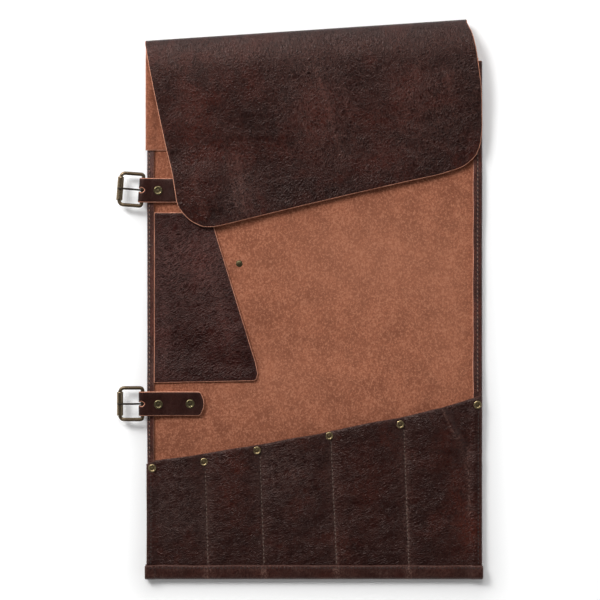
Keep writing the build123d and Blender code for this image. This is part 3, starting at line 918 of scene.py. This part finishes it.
def body_marks(x, y):
    above_pockets = y - np.interp(x, *zip(*POCKET_TOP))
    return np.clip(blobs(x, y, BODY_RUBS), 0, 1) * smooth(above_pockets / 26), 0.3, 0.0


def binding_marks(x, y):
    # faint horizontal streaks of tone and painted highlight, and lighter spots where the dividers
    # end
    rub = 0.07 + 0.07 * ripple(x, y * 3, size=22, seed=73)
    for _, bottom in DIVIDERS:
        rub = rub + 0.42 * near(x - bottom[0], 2.6)
    return np.clip(rub, 0, 0.8), 0.3, np.clip(0.55 * ripple(x, y, size=60, seed=74), 0, 1)


# ------------------------------------------------- round shapes and stitches
# Shapes are (points, faces, wear at each point)
def lathe(profile, cx, cy, count=40):
    """Closed turned shape; profile rows are radius, z and wear, from the top to the bottom."""
    rings = profile[1:-1]
    points, wear = [(cx, cy, profile[0][1])], [profile[0][2]]
    for radius, z, ring_wear in rings:
        points += [(x, y, z) for x, y in circle(cx, cy, radius, count)]
        wear += [ring_wear] * count
    points.append((cx, cy, profile[-1][1]))
    wear.append(profile[-1][2])
    faces = [(0, 1 + i, 1 + (i + 1) % count) for i in range(count)]
    for k in range(len(rings) - 1):
        a, b = 1 + k * count, 1 + (k + 1) * count
        for i in range(count):
            j = (i + 1) % count
            faces.append((a + i, b + i, b + j, a + j))
    last = len(points) - 1
    a = last - count
    faces += [(last, a + (i + 1) % count, a + i) for i in range(count)]
    return points, faces, wear


def merge(parts):
    points, faces, wear = [], [], []
    for part_points, part_faces, part_wear in parts:
        first = len(points)
        points += list(part_points)
        faces += [tuple(i + first for i in face) for face in part_faces]
        wear += list(part_wear)
    return points, faces, wear


def tube(path, radii, wear, up, sides, closed=False):
    """Tube along a path of points, with capped ends unless it closes on itself."""
    path = np.array(path, float)
    count = len(path)
    if closed:
        tangent = np.roll(path, -1, 0) - np.roll(path, 1, 0)
    else:
        tangent = np.gradient(path, axis=0)
    tangent /= np.linalg.norm(tangent, axis=1)[:, None]
    points, faces, point_wear = [], [], []
    for i in range(count):
        across = np.cross(tangent[i], np.array(up, float))
        across /= np.linalg.norm(across)
        upward = np.cross(across, tangent[i])
        for j in range(sides):
            a = 2 * math.pi * j / sides
            points.append(path[i] + radii[i] * (math.cos(a) * across + math.sin(a) * upward))
            point_wear.append(wear[i])
    for i in range(count if closed else count - 1):
        a, b = i * sides, ((i + 1) % count) * sides
        for j in range(sides):
            k = (j + 1) % sides
            faces.append((a + j, a + k, b + k, b + j))
    if not closed:
        points.append(path[0] - tangent[0] * radii[0] * 0.45)
        points.append(path[-1] + tangent[-1] * radii[-1] * 0.45)
        point_wear += [wear[0], wear[-1]]
        start, last = len(points) - 2, (count - 1) * sides
        for j in range(sides):
            k = (j + 1) % sides
            faces += [(start, k, j), (start + 1, last + j, last + k)]
    return points, faces, point_wear


stitches = {}  # (key, roll zone): stitches


def add_stitches(key, start, end, height, pitch, length, radius, lift=0.12, slant=0.0):
    """Stitches from start to end, each a small closed capsule pressed into the leather."""
    distance = math.dist(start, end)
    count = max(1, int(distance / pitch))
    dx, dy = (end[0] - start[0]) / distance, (end[1] - start[1]) / distance
    cos, sin = math.cos(slant), math.sin(slant)
    t = np.linspace(-1, 1, 7)
    radii = radius * np.sqrt(np.clip(1 - (np.abs(t) * 0.93) ** 3.5, 0.05, 1))
    for i in range(count):
        along = (i + 0.5) * distance / count
        x = start[0] + dx * along + (dx * cos - dy * sin) * t * length / 2
        y = start[1] + dy * along + (dy * cos + dx * sin) * t * length / 2
        z = height(x, y) + lift + 0.10 * (1 - t ** 2) - 0.35 * np.abs(t) ** 3
        stitch = tube(np.stack([x, y, z], 1), radii, np.zeros(7), up=(0, 0, 1), sides=8)
        centre = sum(point[0] for point in stitch[0]) / len(stitch[0])
        zone = sum(centre >= cut for cut in CUTS)
        stitches.setdefault((key, zone), []).append(stitch)


# ---------------------------------------------------------------- the body
def make_body():
    outline = [(-122.9, -226.6), (146.2, -226.6), (146.2, 199.0), (143.0, 199.7), (-122.9, 199.7)]
    zoned_sheet("body_panel", outline, lambda x, y: (x, y, body_mid(x, y)), BODY_THICK,
                (M_SUEDE, M_FLAP, M_EDGE), "body_leather", "back_panel", grid=3.2, step=2.4,
                marks=body_marks, holes=[circle(x, y, 1.7) for x, y in LOOP_RIVETS + STRAP_RIVETS])


def make_hem(name, side, body, edge_x, lip_x, stitch_x, stitch_y, top_y, corner, edge, seed,
             rest_x):
    """A folded hem at the -x or +x side; its pattern runs round the fold."""
    width = abs(edge_x - lip_x)
    leg, radius = 1.4, 0.93  # part underneath, radius of the fold
    total = leg + math.pi * radius + width

    def surface(s, y):
        # q runs from the inner end underneath, outwards and back over the top to the lip
        q = s if side < 0 else total - s
        turn = np.clip((q - leg) / radius, 0, math.pi)
        below = np.minimum(q, leg)
        above = np.maximum(q - leg - math.pi * radius, 0)
        x = edge_x + side * (np.sin(turn) * radius - (leg - below) - above)
        z = BODY_Z - sag(edge_x, y) + radius * (1 - np.cos(turn))
        z = z + 0.10 * ripple(x * 3, y, size=22, seed=seed) * (turn > 1.5)
        lip = above / width
        z = z + 0.25 * smooth((lip - 0.6) / 0.4) * (0.5 + 0.5 * ripple(0.0, y, size=30, seed=53))
        # the stitch line presses the hem down
        z = z - 0.28 * near(x - stitch_x, 0.6) * (turn > 3.0)
        x = x + 0.22 * ripple(5, y, size=40, seed=54 + side) * lip
        return x, y, z

    def stitch_height(x, y):
        return BODY_Z - sag(x, y) + 2 * radius + THIN / 2 - 0.28

    pattern = [(0.0, -226.6), (total, -226.6), (total, top_y - corner), (total - 1.5, top_y),
               (0.0, top_y)]
    piece = sheet(f"hem_{name}", pattern, surface, THIN, (M_HEM, M_SUEDE, edge), grid=1.1,
                  step=1.3, bevel=0.42, rub=0.10, rest_shift=(rest_x, 0, 0))
    attach(piece, "body_leather", body=body)
    pitch = 3.5
    low, high = stitch_y
    add_stitches("hem_" + name, (stitch_x, low), (stitch_x, high), stitch_height,
                 pitch=pitch, length=1.9, radius=0.44, slant=0.25)
    # the stitch holes, half a pitch further on: dark capsules that paint the shade inside the holes
    add_stitches("holes_" + name, (stitch_x, low + pitch / 2), (stitch_x, high + pitch / 2),
                 stitch_height, pitch=pitch, length=1.6, radius=0.62, lift=0.0)


# --------------------------------------------------------------- the pockets
def make_pockets():
    mouth = [(x, y + float(0.35 * ripple(x, 0.0, size=55, seed=61)))
             for x, y in resample_open(POCKET_TOP, 8)[:-1]] + [POCKET_TOP[-1]]
    outline = [(-126.3, -226.4), (148.4, -226.4), (148.2, -150.0), *mouth[::-1], (-126.1, -180.0)]
    left, right = POCKET_EDGE_X
    end_y = POCKET_EDGE_END_Y
    lines = DIVIDERS + [((left, -137), (left, end_y)), ((right, -84), (right, end_y)),
                        POCKET_CREASE]
    zoned_sheet("pocket_panel", outline, lambda x, y: (x, y, pocket_mid(x, y)), THIN,
                (M_POCKET, M_SUEDE, M_EDGE_DARK), "panel_leather", "pocket_front", grid=2.3,
                step=1.5, bevel=0.42, rub=0.15, marks=pocket_marks, lines=lines,
                holes=[circle(x, y, 1.45) for x, y in POCKET_RIVETS])
    for start, end in DIVIDERS:
        add_stitches("pocket", start, end, pocket_top, pitch=3.2, length=2.3, radius=0.38)
    for x, top_y in ((left, -142.5), (right, -90.5)):
        add_stitches("edge", (x, top_y), (x, end_y), pocket_top, pitch=3.1, length=2.2,
                     radius=0.36)


# ---------------------------------------------------------- bottom binding
BINDING_UNDER, BINDING_TURN, BINDING_LIP = 9.2, 6.4, 9.3  # lengths of its three parts


def binding_surface(x, s):
    """s runs from the inner end underneath, round the bottom edge, to the lip on top."""
    low = body_top(x, BINDING_Y) - BODY_THICK - 0.92
    high = pocket_top(x, BINDING_Y) + 0.86
    turn = np.clip((s - BINDING_UNDER) / BINDING_TURN, 0, 1) * math.pi
    above = np.maximum(s - BINDING_UNDER - BINDING_TURN, 0)
    y = -226.75 + (BINDING_UNDER - np.minimum(s, BINDING_UNDER)) + above - 1.75 * np.sin(turn)
    z = low + (high - low) / 2 * (1 - np.cos(turn))
    lip = above / BINDING_LIP
    z = (z + 0.30 * smooth((lip - 0.1) / 0.5) * (1 - 0.8 * smooth((lip - 0.55) / 0.45))
         + 0.12 * ripple(x, y, size=26, seed=71) * lip)
    return x, y + 0.28 * ripple(x, 0.0, size=48, seed=72) * lip, z


def make_binding():
    total = BINDING_UNDER + BINDING_TURN + BINDING_LIP
    x0, x1 = -127.5, 149.5
    outline = [(x0, 0.0), (x1 - 0.6, 0.0), (x1, 8.0), (x1, total - 0.4), (x1 - 0.6, total),
               (x0 + 0.5, total), (x0, total - 0.8)]
    # the dark edge paints the shadow line along the binding's top
    zoned_sheet("bottom_binding", outline, binding_surface, THIN, (M_BIND, M_SUEDE, M_EDGE_DARK),
                "strap_leather", "bottom_binding", grid=1.5, step=1.5, rub=0.35,
                rest_shift=(3, -240, 0), marks=binding_marks)
    add_stitches("binding", (-124.5, -219.6), (147.0, -219.6),
                 lambda x, y: pocket_top(x, BINDING_Y) + 1.75,
                 pitch=3.2, length=2.3, radius=0.34, lift=0.05)


# -------------------------------------------------------------- the flap
# Pattern coordinate v: below 0 the back layer, up to V_EDGE the tight lower half of the fold,
# then SWELL_V of its swelling upper half, then the front layer
V_EDGE = 0.5 * math.pi * FOLD_R
SWELL_ANGLES = np.linspace(0, math.pi / 2, 400)
SWELL_LENGTHS = np.concatenate([[0], np.cumsum(np.hypot(
    np.diff(SWELL_LENGTH * np.cos(SWELL_ANGLES)), np.diff(6.0 * np.sin(SWELL_ANGLES))))])
SWELL_V = float(SWELL_LENGTHS[-1])


def flap_surface(x, v):
    angle = np.interp(v - V_EDGE, SWELL_LENGTHS, SWELL_ANGLES)
    lower = (v > 0) & (v <= V_EDGE)
    upper = (v > V_EDGE) & (v <= V_EDGE + SWELL_V)
    lower_turn = np.clip(v, 0, V_EDGE) / FOLD_R

    def by_part(back, low, high, front):
        return np.where(v <= 0, back, np.where(lower, low, np.where(upper, high, front)))

    offset = by_part(np.minimum(v, 0), FOLD_R * np.sin(lower_turn),
                     SWELL_CENTRE + SWELL_LENGTH * np.cos(angle),
                     SWELL_CENTRE - np.maximum(v - V_EDGE - SWELL_V, 0))
    axis_y = fold_y(x)
    y = axis_y + offset / FOLD_COS
    edge_z = flap_back_mid(x, axis_y) + FOLD_R
    top_z = flap_front_mid(x, axis_y + SWELL_CENTRE / FOLD_COS)
    upper_z = edge_z + (top_z - edge_z) * np.sin(angle)
    fade = np.sin(np.clip((v - V_EDGE) / SWELL_V, 0, 1) * math.pi) ** 2
    waves = 0.22 * ripple(x, v, size=34, seed=81) * fade
    z = by_part(flap_back_mid(x, y), edge_z - FOLD_R * np.cos(lower_turn), upper_z + waves,
                flap_front_mid(x, y))
    return x, y, z


def swell_v(offset):
    """v on the upper half of the fold, at an offset from the hinge axis."""
    angle = math.acos(min(1.0, (offset - SWELL_CENTRE) / SWELL_LENGTH))
    return V_EDGE + float(np.interp(angle, SWELL_ANGLES, SWELL_LENGTHS))


def front_v(x, y):
    """v of a point of the front layer or the upper half of the fold."""
    offset = float(from_fold(x, y))
    if offset <= SWELL_CENTRE:
        return V_EDGE + SWELL_V + (SWELL_CENTRE - offset)
    return swell_v(offset)


def flap_pattern():
    points = [(-126.9, 208.9), *FLAP_OUTLINE, (136.2, 226.2)]
    rounded = [points[0]]
    for before, here, after in zip(points, points[1:], points[2:]):
        for other in (before, after):
            rounded.append((here[0] * 0.8 + other[0] * 0.2, here[1] * 0.8 + other[1] * 0.2))
    rounded.append(points[-1])
    front = [(x, front_v(x, y)) for x, y in resample_open(rounded, 4)]
    back = [(x, from_fold(x, 122.6)) for x in (136.0, 100, 40, -20, -80, -127.0)]
    return [*front, (136.1, V_EDGE), (136.0, 0.0), *back, (-127.0, 0.0), (-127.1, V_EDGE)]


def fold_point(distance):
    """Point at a distance across the fold from its hinge axis at x = 0."""
    return place(-math.sin(FOLD_ANGLE) * distance, float(fold_y(0.0)) + FOLD_COS * distance, 9.5)


def make_flap():
    """Each strip is made of four parts that meet in the flat pattern: the back layer stays with
    the case, the front layer goes with the flap, and the two halves of the fold between them
    stay in place."""
    pattern = flap_pattern()
    v_back = -20.0
    v_front = swell_v(v_back)
    reach = 19.5
    # name, limits in v, grid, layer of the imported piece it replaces
    parts = (("layer_back", -1e3, v_back, 2.6, "back"), ("fold_under", v_back, V_EDGE, 1.3, "back"),
             ("fold_over", V_EDGE, v_front, 1.7, "front"),
             ("layer_front", v_front, 1e3, 2.6, "front"))
    limits = [-1e3, *HINGES, 1e3]
    for i in range(1, 6):
        strip = clip_x(pattern, limits[i - 1], limits[i])
        for name, v0, v1, grid, layer in parts:
            # the flap's suede side takes the darker copy: painted shade
            piece = sheet(f"flap_{name}_{i}", clip_y(strip, v0, v1), flap_surface, THIN,
                          (M_SUEDE_SHADED, M_FLAP, M_EDGE), grid=grid, step=1.5, cuts=HINGES,
                          rub=0.2, marks=flap_marks, y_cuts=(v_back, V_EDGE, v_front),
                          whole=pattern)
            if name == "layer_back":
                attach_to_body(piece, f"strip_{i}")
            elif name == "layer_front":
                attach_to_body(piece, f"flap_{i}")
            else:
                start, end = -reach, 2 * FOLD_R + reach
                if name == "fold_over":
                    start, end = end, start
                fold_point(start)
                fold_point(end)
                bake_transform(piece)
            attach(piece, "panel_leather", f"flap_{layer}_{i}")


def make_side_flap():
    pattern = [(-120.1, 71.8), (-120.1, -68.0), (-41.5, -66.4), (-38.3, -66.3), (-35.9, -64.8),
               (-34.9, -60.3), (-36.7, -51.5), (-70.7, 58.9), (-74.6, 71.8)]
    piece = sheet("side_flap", pattern, lambda x, y: (x, y, side_flap_mid(x, y)), THIN,
                  (M_SIDE, M_SUEDE, M_EDGE), grid=2.4, step=1.5, rub=0.25,
                  rest_shift=(90, 40, 3), marks=side_marks)
    bend(piece)
    attach(piece, "panel_leather", "side_flap_a", "side_flap_b")


# -------------------------------------------------- straps with roller buckles
LAYER_HALF = 0.82  # half the distance between the strap's two layers
TURN_R = 2.4  # turn round the heel bar
TURN_LENGTH = TURN_R * math.pi / 2


def strap_z(x):
    return 8.2 - 1.62 * smooth((x + 125.0) / 14.0)


def layer_offset(x):
    return TURN_R - (TURN_R - LAYER_HALF) * smooth((x - HEEL_X) / 8.0)


LAYER_X = np.linspace(HEEL_X, -78.0, 300)
LAYER_LENGTH = np.concatenate([[0], np.cumsum(np.hypot(
    np.diff(LAYER_X), np.diff(strap_z(LAYER_X) + layer_offset(LAYER_X))))])


def strap_surface(centre_y, tilt, seed):
    """s is 0 at the turn round the heel bar, positive on the upper layer, negative below."""
    shear = math.tan(math.radians(-tilt))

    def surface(s, y):
        q, sign = np.abs(s), np.sign(s)
        turn = np.clip(q / TURN_R, 0, math.pi / 2)
        x = np.where(q < TURN_LENGTH, HEEL_X - TURN_R * np.cos(turn),
                     np.interp(q - TURN_LENGTH, LAYER_LENGTH, LAYER_X))
        z = np.where(q < TURN_LENGTH, HEEL_Z + sign * TURN_R * np.sin(turn),
                     strap_z(x) + sign * layer_offset(x))
        x = x + (y - centre_y) * shear * (1 - smooth((x + 126) / 22))
        z = (z + 0.07 * ripple(x, y, size=18, seed=seed) * smooth((x + 122) / 8)
             + 0.10 * near(np.abs(y - centre_y) - 5, 4) * (sign > 0) * (q > TURN_LENGTH + 4))
        return x, y, z
    return surface


def strap_s(x):
    return TURN_LENGTH + float(np.interp(x, LAYER_X, LAYER_LENGTH))


def make_strap(name, centre_y, tilt, seed):
    half = STRAP_HALF_WIDTH
    tip = [(-83.4, half), (-81.6, half - 1.0), (-79.9, 5.2), (-79.0, 2.4)]
    tip = ([(x, -y) for x, y in tip] + [(-78.8, 0.0)] + tip[::-1])
    pattern = [(strap_s(x), centre_y + y) for x, y in tip]
    pattern += [(-strap_s(x) + 0.5, centre_y + y) for x, y in tip[::-1]]

    def slot_arc(side, start, end):
        return [(3.0 - 2.0 * math.cos(a), centre_y + side * 2.0 * math.sin(a))
                for a in np.linspace(start, end, 7)]

    # slot for the prong
    near_end, far_end = 0.62, math.pi - 0.5
    slot = [(-4.6, centre_y + 1.2), (1.4, centre_y + 1.2), *slot_arc(1, near_end, far_end),
            (5.2, centre_y + 0.55), (5.4, centre_y), (5.2, centre_y - 0.55),
            *slot_arc(-1, far_end, near_end), (1.4, centre_y - 1.2), (-4.6, centre_y - 1.2),
            (-5.4, centre_y - 0.6), (-5.4, centre_y + 0.6)]
    holes = [slot]
    for x, y in STRAP_RIVETS:
        if abs(y - centre_y) < 5:
            holes += [circle(strap_s(x), y, 1.7), circle(-strap_s(x), y, 1.7)]
    piece = sheet(f"{name}_strap", pattern, strap_surface(centre_y, tilt, seed), THIN,
                  (M_STRAP, M_SUEDE, M_EDGE), grid=1.5, step=0.9, holes=holes, rub=0.25,
                  rest_shift=(40, 0, 5))
    attach(piece, "strap_leather", f"{name}_buckle_strap", zone=0)


FRAME_WIDTH, FRAME_LENGTH = 25.9, 18.4
ROLLER_LENGTH = 19.3


def frame_shape():
    """Cast frame: a closed bar, with its heel bar on x = 0."""
    half, corner, heel = FRAME_WIDTH / 2, 3.4, 2.0
    corner_x = -FRAME_LENGTH + corner
    side = FRAME_LENGTH - corner - 2.2
    runs = [(arc(corner_x, half - corner, corner, 90, 180, 9), 0.75),
            (arc(corner_x, -half + corner, corner, 180, 270, 9), 0.75),
            ([(corner_x + side * i / 8, -half) for i in range(1, 8)], 0.45),
            (arc(-heel, -half + heel, heel, 270, 360, 7), 0.5),
            (arc(-heel, half - heel, heel, 0, 90, 7), 0.5),
            ([(-2.2 - side * i / 8, half) for i in range(1, 8)], 0.45)]
    path = [(x, y, 0) for run, _ in runs for x, y in run]
    wear = [run_wear for run, run_wear in runs for _ in run]
    return tube(path, [1.5] * len(path), wear, up=(0, 0, 1), sides=24, closed=True)


def roller_shape():
    """Rolled sheet tube with a seam along it and soft lips."""
    half, sides = ROLLER_LENGTH / 2, 36
    # y and radius, along the outside and back through the bore
    ring = [(-half, 2.30), (-half + 0.25, 2.55), (-half + 0.8, 2.62), (-half + 1.6, 2.56),
            (0.0, 2.56), (half - 1.6, 2.56), (half - 0.8, 2.62), (half - 0.25, 2.55),
            (half, 2.30), (half, 1.85), (half - 0.4, 1.62), (0.0, 1.62), (-half + 0.4, 1.62),
            (-half, 1.85)]
    points, faces, wear = [], [], []
    for i, (y, radius) in enumerate(ring):
        first, after = i * sides, ((i + 1) % len(ring)) * sides
        for j in range(sides):
            a = 2 * math.pi * j / sides
            seam = 0.16 if (j == 4 and radius > 2.2) else 0.0
            points.append((-FRAME_LENGTH + (radius - seam) * math.cos(a), y,
                           (radius - seam) * math.sin(a)))
            wear.append(0.15 if seam else (0.95 if radius > 2.5 else 0.3))
            k = (j + 1) % sides
            faces.append((first + k, after + k, after + j, first + j))
    return points, faces, wear


def prong_shape():
    """Forged prong, hooked round the heel bar and resting on the roller."""
    hook = [(x, z, 0.64) for x, z in arc(0, 0, 2.2, -170, 90, 22)]
    # x, z and radius from the hook to the tip
    shaft = [(-1.2, 2.27, 0.68), (-3.0, 2.55, 0.74), (-6.0, 2.95, 0.78), (-9.5, 3.25, 0.8),
             (-13.5, 3.40, 0.8), (-17, 3.45, 0.78), (-19.2, 3.35, 0.75), (-20.2, 3.1, 0.62)]
    return tube([(x, 0, z) for x, z, _ in hook + shaft], [row[2] for row in hook + shaft],
                [0.1] * len(hook) + [0.25] * len(shaft), up=(0, 1, 0), sides=16)


def make_buckle(name, centre_y, tilt):
    cos, sin = math.cos(math.radians(tilt)), math.sin(math.radians(tilt))
    # new name, shape, material, sharp angle, body and replaced piece
    for part, shape, material, sharp, body, cad in (
            ("frame", frame_shape(), M_BRONZE, 50.0, "buckle", "buckle_frame"),
            ("roller_tube", roller_shape(), M_BRONZE, 40, "roller", "roller"),
            ("prong_pin", prong_shape(), M_PRONG, 50.0, "prong", "prong")):
        points, faces, wear = shape
        x, y, z = np.array(points, float).T
        points = np.stack([x * cos - y * sin + HEEL_X, x * sin + y * cos + centre_y,
                           z + HEEL_Z], 1)
        piece = make_object(f"{name}_{part}", points, faces, [material],
                            attributes={"wear": wear}, sharp=sharp)
        attach(piece, "antique_brass", f"{name}_{cad}", body=f"{name}_{body}")


# ------------------------------------------------------------------ rivets
CAP_R = 3.35
# Dished cap: radius, height and wear
CAP_PROFILE = [(0, 0.34, 0.6), (0.7, 0.34, 0.55), (1.25, 0.20, 0.2), (1.65, 0.22, 0.2),
               (2.0, 0.62, 0.5), (2.4, 0.88, 0.95), (2.8, 0.86, 0.95), (3.12, 0.62, 0.6),
               (3.33, 0.24, 0.3), (3.33, 0.02, 0.1)]


def cap_rivet(x, y, low, high, radius=CAP_R, head=3.2, shank=1.2):
    """Dished cap on top at high, shank, and flat head underneath at low."""
    scale = radius / CAP_R
    profile = [(r * scale, high + z, wear) for r, z, wear in CAP_PROFILE]
    profile += [(shank, high - 0.02, 0.1), (shank, low + 0.62, 0.1), (head, low + 0.60, 0.2),
                (head, low + 0.28, 0.6), (head - 0.35, low + 0.05, 0.8), (0, low, 0.8)]
    return lathe(profile, x, y)


def rivet_piece(name, parts, body, material, replaced):
    points, faces, wear = merge(parts)
    piece = make_object(name, points, faces, [material], attributes={"wear": wear}, sharp=45)
    attach(piece, "antique_brass", replaced, body=body)


def make_rivets():
    by_strip = {}
    for x, y in POCKET_RIVETS:
        strip = 1 + sum(x > hinge for hinge in HINGES)
        low = BODY_Z - BODY_THICK / 2 - float(sag(x, y)) - 0.8
        rivet = cap_rivet(x, y, low, float(pocket_top(x, y)) - 0.05)
        by_strip.setdefault(strip, []).append(rivet)
    for strip, parts in by_strip.items():
        rivet_piece(f"pocket_caps_{strip}", parts, f"strip_{strip}", M_BRASS,
                    f"pocket_rivets_{strip}")
    parts = [cap_rivet(x, y, 0.0, float(strap_z(x)) + LAYER_HALF + 0.78, radius=3.7, head=3.7,
                       shank=1.5) for x, y in STRAP_RIVETS]
    rivet_piece("strap_caps", parts, "strip_1", M_STUD, "strap_rivets")
    # domed rivet: radius, z and wear
    dome = [(0, 5.45, 0.8), (1.1, 5.42, 0.7), (2.0, 5.28, 0.5), (2.6, 5.02, 0.25),
            (2.75, 4.86, 0.1), (1.2, 4.80, 0.1), (1.2, 0.62, 0.1), (3.2, 0.60, 0.2),
            (3.2, 0.28, 0.6), (2.85, 0.05, 0.8), (0, 0.0, 0.8)]
    rivet_piece("carry_loop_caps", [lathe(dome, x, y) for x, y in LOOP_RIVETS], "strip_2", M_STUD,
                "carry_loop_rivets")


# --------------------------------------------- outside: billets and carry loop
OUTER_Z = 1.78


def make_billet(name, centre_y, cad):
    x0, x1 = BILLET_X
    half = STRAP_HALF_WIDTH
    pattern = [(x0, centre_y - half + 2), (-119.0, centre_y - half), (122.0, centre_y - half),
               (127.5, centre_y - 7.4), (130.6, centre_y - 4.0), (x1, centre_y),
               (130.6, centre_y + 4.0), (127.5, centre_y + 7.4), (122.0, centre_y + half),
               (-119.0, centre_y + half), (x0, centre_y + half - 2)]
    holes = [circle(x, centre_y, 1.7, 16) for x in BILLET_HOLES]
    holes += [circle(x, y, 1.75) for x, y in STRAP_RIVETS if abs(y - centre_y) < 5]
    zoned_sheet(f"{name}_billet", pattern, lambda x, y: (x, y, OUTER_Z), 1.9,
                (M_SUEDE, M_STRAP, M_EDGE), "strap_leather", cad, grid=2.6, step=1.6,
                holes=holes, bevel=0.45, rub=0.2, rest_shift=(0, 0, 9))


def make_carry_loop():
    (x0, x1), (y0, y1) = LOOP_X, LOOP_Y
    pattern = []
    for cx, cy, start in ((x1, y1, 0), (x0, y1, 90), (x0, y0, 180), (x1, y0, 270)):
        pattern += arc(cx, cy, LOOP_CORNER_R, start, start + 90, 6)
    piece = sheet("carry_loop_strap", pattern,
                  lambda x, y: (x, y, OUTER_Z - 0.10 * np.cos((y - 2.3) / 27.5 * math.pi)), 1.8,
                  (M_SUEDE, M_STRAP, M_EDGE), grid=1.8, step=1.2,
                  holes=[circle(x, y, 1.4) for x, y in LOOP_RIVETS], bevel=0.45, rub=0.25,
                  rest_shift=(0, 0, 14))
    attach(piece, "strap_leather", "carry_loop", body="strip_2")


def make_threads():
    for (key, zone), parts in stitches.items():
        # dark thread; the stitch holes take it too, as painted shade
        material = M_THREAD
        if key == "pocket":
            material = M_THREAD_LIGHT
        elif key.startswith("hem"):
            material = M_THREAD_BROWN
        points, faces, _ = merge(parts)
        piece = make_object(f"thread_{key}_{ZONES[zone]}", points, faces, [material], sharp=60)
        if key.endswith("left"):
            attach(piece, "strap_leather", body="strip_1")
        elif key.endswith("right"):
            attach(piece, "strap_leather", body="strip_5")
        else:
            attach(piece, "strap_leather", zone=zone)


make_body()
make_hem("left", side=-1, body="strip_1", edge_x=-124.25, lip_x=-120.1, stitch_x=-123.9,
         stitch_y=(-130, 121.5), top_y=199.6, corner=0, edge=M_EDGE_MID, seed=51, rest_x=-126)
make_hem("right", side=1, body="strip_5", edge_x=147.55, lip_x=141.4, stitch_x=145.3,
         stitch_y=(-76, 196), top_y=196.5, corner=2.0, edge=M_EDGE, seed=52, rest_x=141)
make_pockets()
make_binding()
make_flap()
make_side_flap()
for strap_name, strap_y, strap_tilt, strap_seed in (("upper", UPPER_Y, UPPER_TILT, 91),
                                                    ("lower", LOWER_Y, 0.0, 92)):
    make_strap(strap_name, strap_y, strap_tilt, strap_seed)
    make_buckle(strap_name, strap_y, strap_tilt)
make_rivets()
make_billet("upper", UPPER_Y, "billet_straps")
make_billet("lower", LOWER_Y, None)
make_carry_loop()
make_threads()


# ------------------------------------------------------------ stage, in metres
def make_floor():
    """White floor that brightens away from the case, so only the contact shadow shows."""
    size = 4.0
    mesh = bpy.data.meshes.new("floor")
    mesh.from_pydata([(-size, -size, 0), (size, -size, 0), (size, size, 0), (-size, size, 0)],
                     [], [(0, 1, 2, 3)])
    floor = bpy.data.objects.new("floor", mesh)
    bpy.context.scene.collection.objects.link(floor)
    material = bpy.data.materials.new("floor_white")
    material.use_nodes = True
    nodes = Nodes(material.node_tree)
    shader = nodes.tree.nodes["Principled BSDF"]
    position = nodes.new("NewGeometry").outputs["Position"]
    inset = 0.012  # the dark area ends this much inside the -x end
    half = ((CAD_HI[0] - CAD_LO[0]) / 2 - inset, (CAD_HI[1] - CAD_LO[1]) / 2, 10.0)
    centre = ((CAD_HI[0] + CAD_LO[0]) / 2 + inset, (CAD_HI[1] + CAD_LO[1]) / 2, 0.0)
    zero = (0.0, 0.0, 0.0)
    away = nodes.vector_math("SUBTRACT", position, centre)
    away = nodes.vector_math("ABSOLUTE", away, zero)
    away = nodes.vector_math("SUBTRACT", away, half)
    away = nodes.vector_math("MAXIMUM", away, zero)
    length = nodes.new("VectorMath")
    length.operation = "LENGTH"
    nodes.put(length.inputs[0], away)
    glow = nodes.ramp(length.outputs["Value"], (0.002, 0.030), to=(0.055, 0.22))
    for name, value in (("Emission Color", (1, 1, 1, 1)), ("Emission Strength", glow),
                        ("Base Color", (0.93, 0.93, 0.93, 1)), ("Roughness", 0.9),
                        ("Specular IOR Level", 0.1)):
        nodes.put(shader.inputs[name], value)
    mesh.materials.append(material)


def make_world():
    """White surroundings that darken towards the top."""
    world = bpy.data.worlds.new("studio")
    bpy.context.scene.world = world
    world.use_nodes = True
    nodes = Nodes(world.node_tree)
    background = nodes.tree.nodes["Background"]
    direction = nodes.new("TexCoord").outputs["Generated"]
    split = nodes.new("SeparateXYZ")
    nodes.put(split.inputs[0], direction)
    strength = nodes.ramp(split.outputs[2], (0.25, 0.66), to=(1.0, 0.04))
    nodes.put(background.inputs["Strength"], strength)
    background.inputs["Color"].default_value = (1.0, 1.0, 1.0, 1)


def area_light(name, location, target, size, power):
    data = bpy.data.lights.new(name, "AREA")
    data.shape = "SQUARE"
    data.size = size
    data.energy = power
    light = bpy.data.objects.new(name, data)
    light.location = location
    light.rotation_mode = "QUATERNION"
    aim = Vector(target) - Vector(location)
    light.rotation_quaternion = aim.to_track_quat("-Z", "Y")
    bpy.context.scene.collection.objects.link(light)


def make_camera():
    """Looks straight down on the case."""
    view_width = 0.492
    data = bpy.data.cameras.new("camera")
    data.lens = 100.0
    data.sensor_width = 36.0
    camera = bpy.data.objects.new("camera", data)
    camera.location = (ORIGIN_X / 1000 - 0.0004, ORIGIN_Y / 1000, view_width * 100 / 36 + 0.006)
    bpy.context.scene.collection.objects.link(camera)
    bpy.context.scene.camera = camera


make_floor()
make_world()
area_light("key", location=(-1.15, 1.25, 1.45), target=(0, 0, 0), size=0.8, power=41.0)
area_light("top_edge", location=(0.1, 1.5, 0.62), target=(0, 0.18, 0), size=0.8, power=6.0)
area_light("fill", location=(1.3, -0.6, 1.2), target=(0, 0, 0), size=1.2, power=1.5)
area_light("fold_light", location=(-0.05, 0.86, 1.40), target=(0, 0.2, 0), size=0.6, power=6.5)
make_camera()
bpy.context.scene.view_settings.view_transform = "Standard"
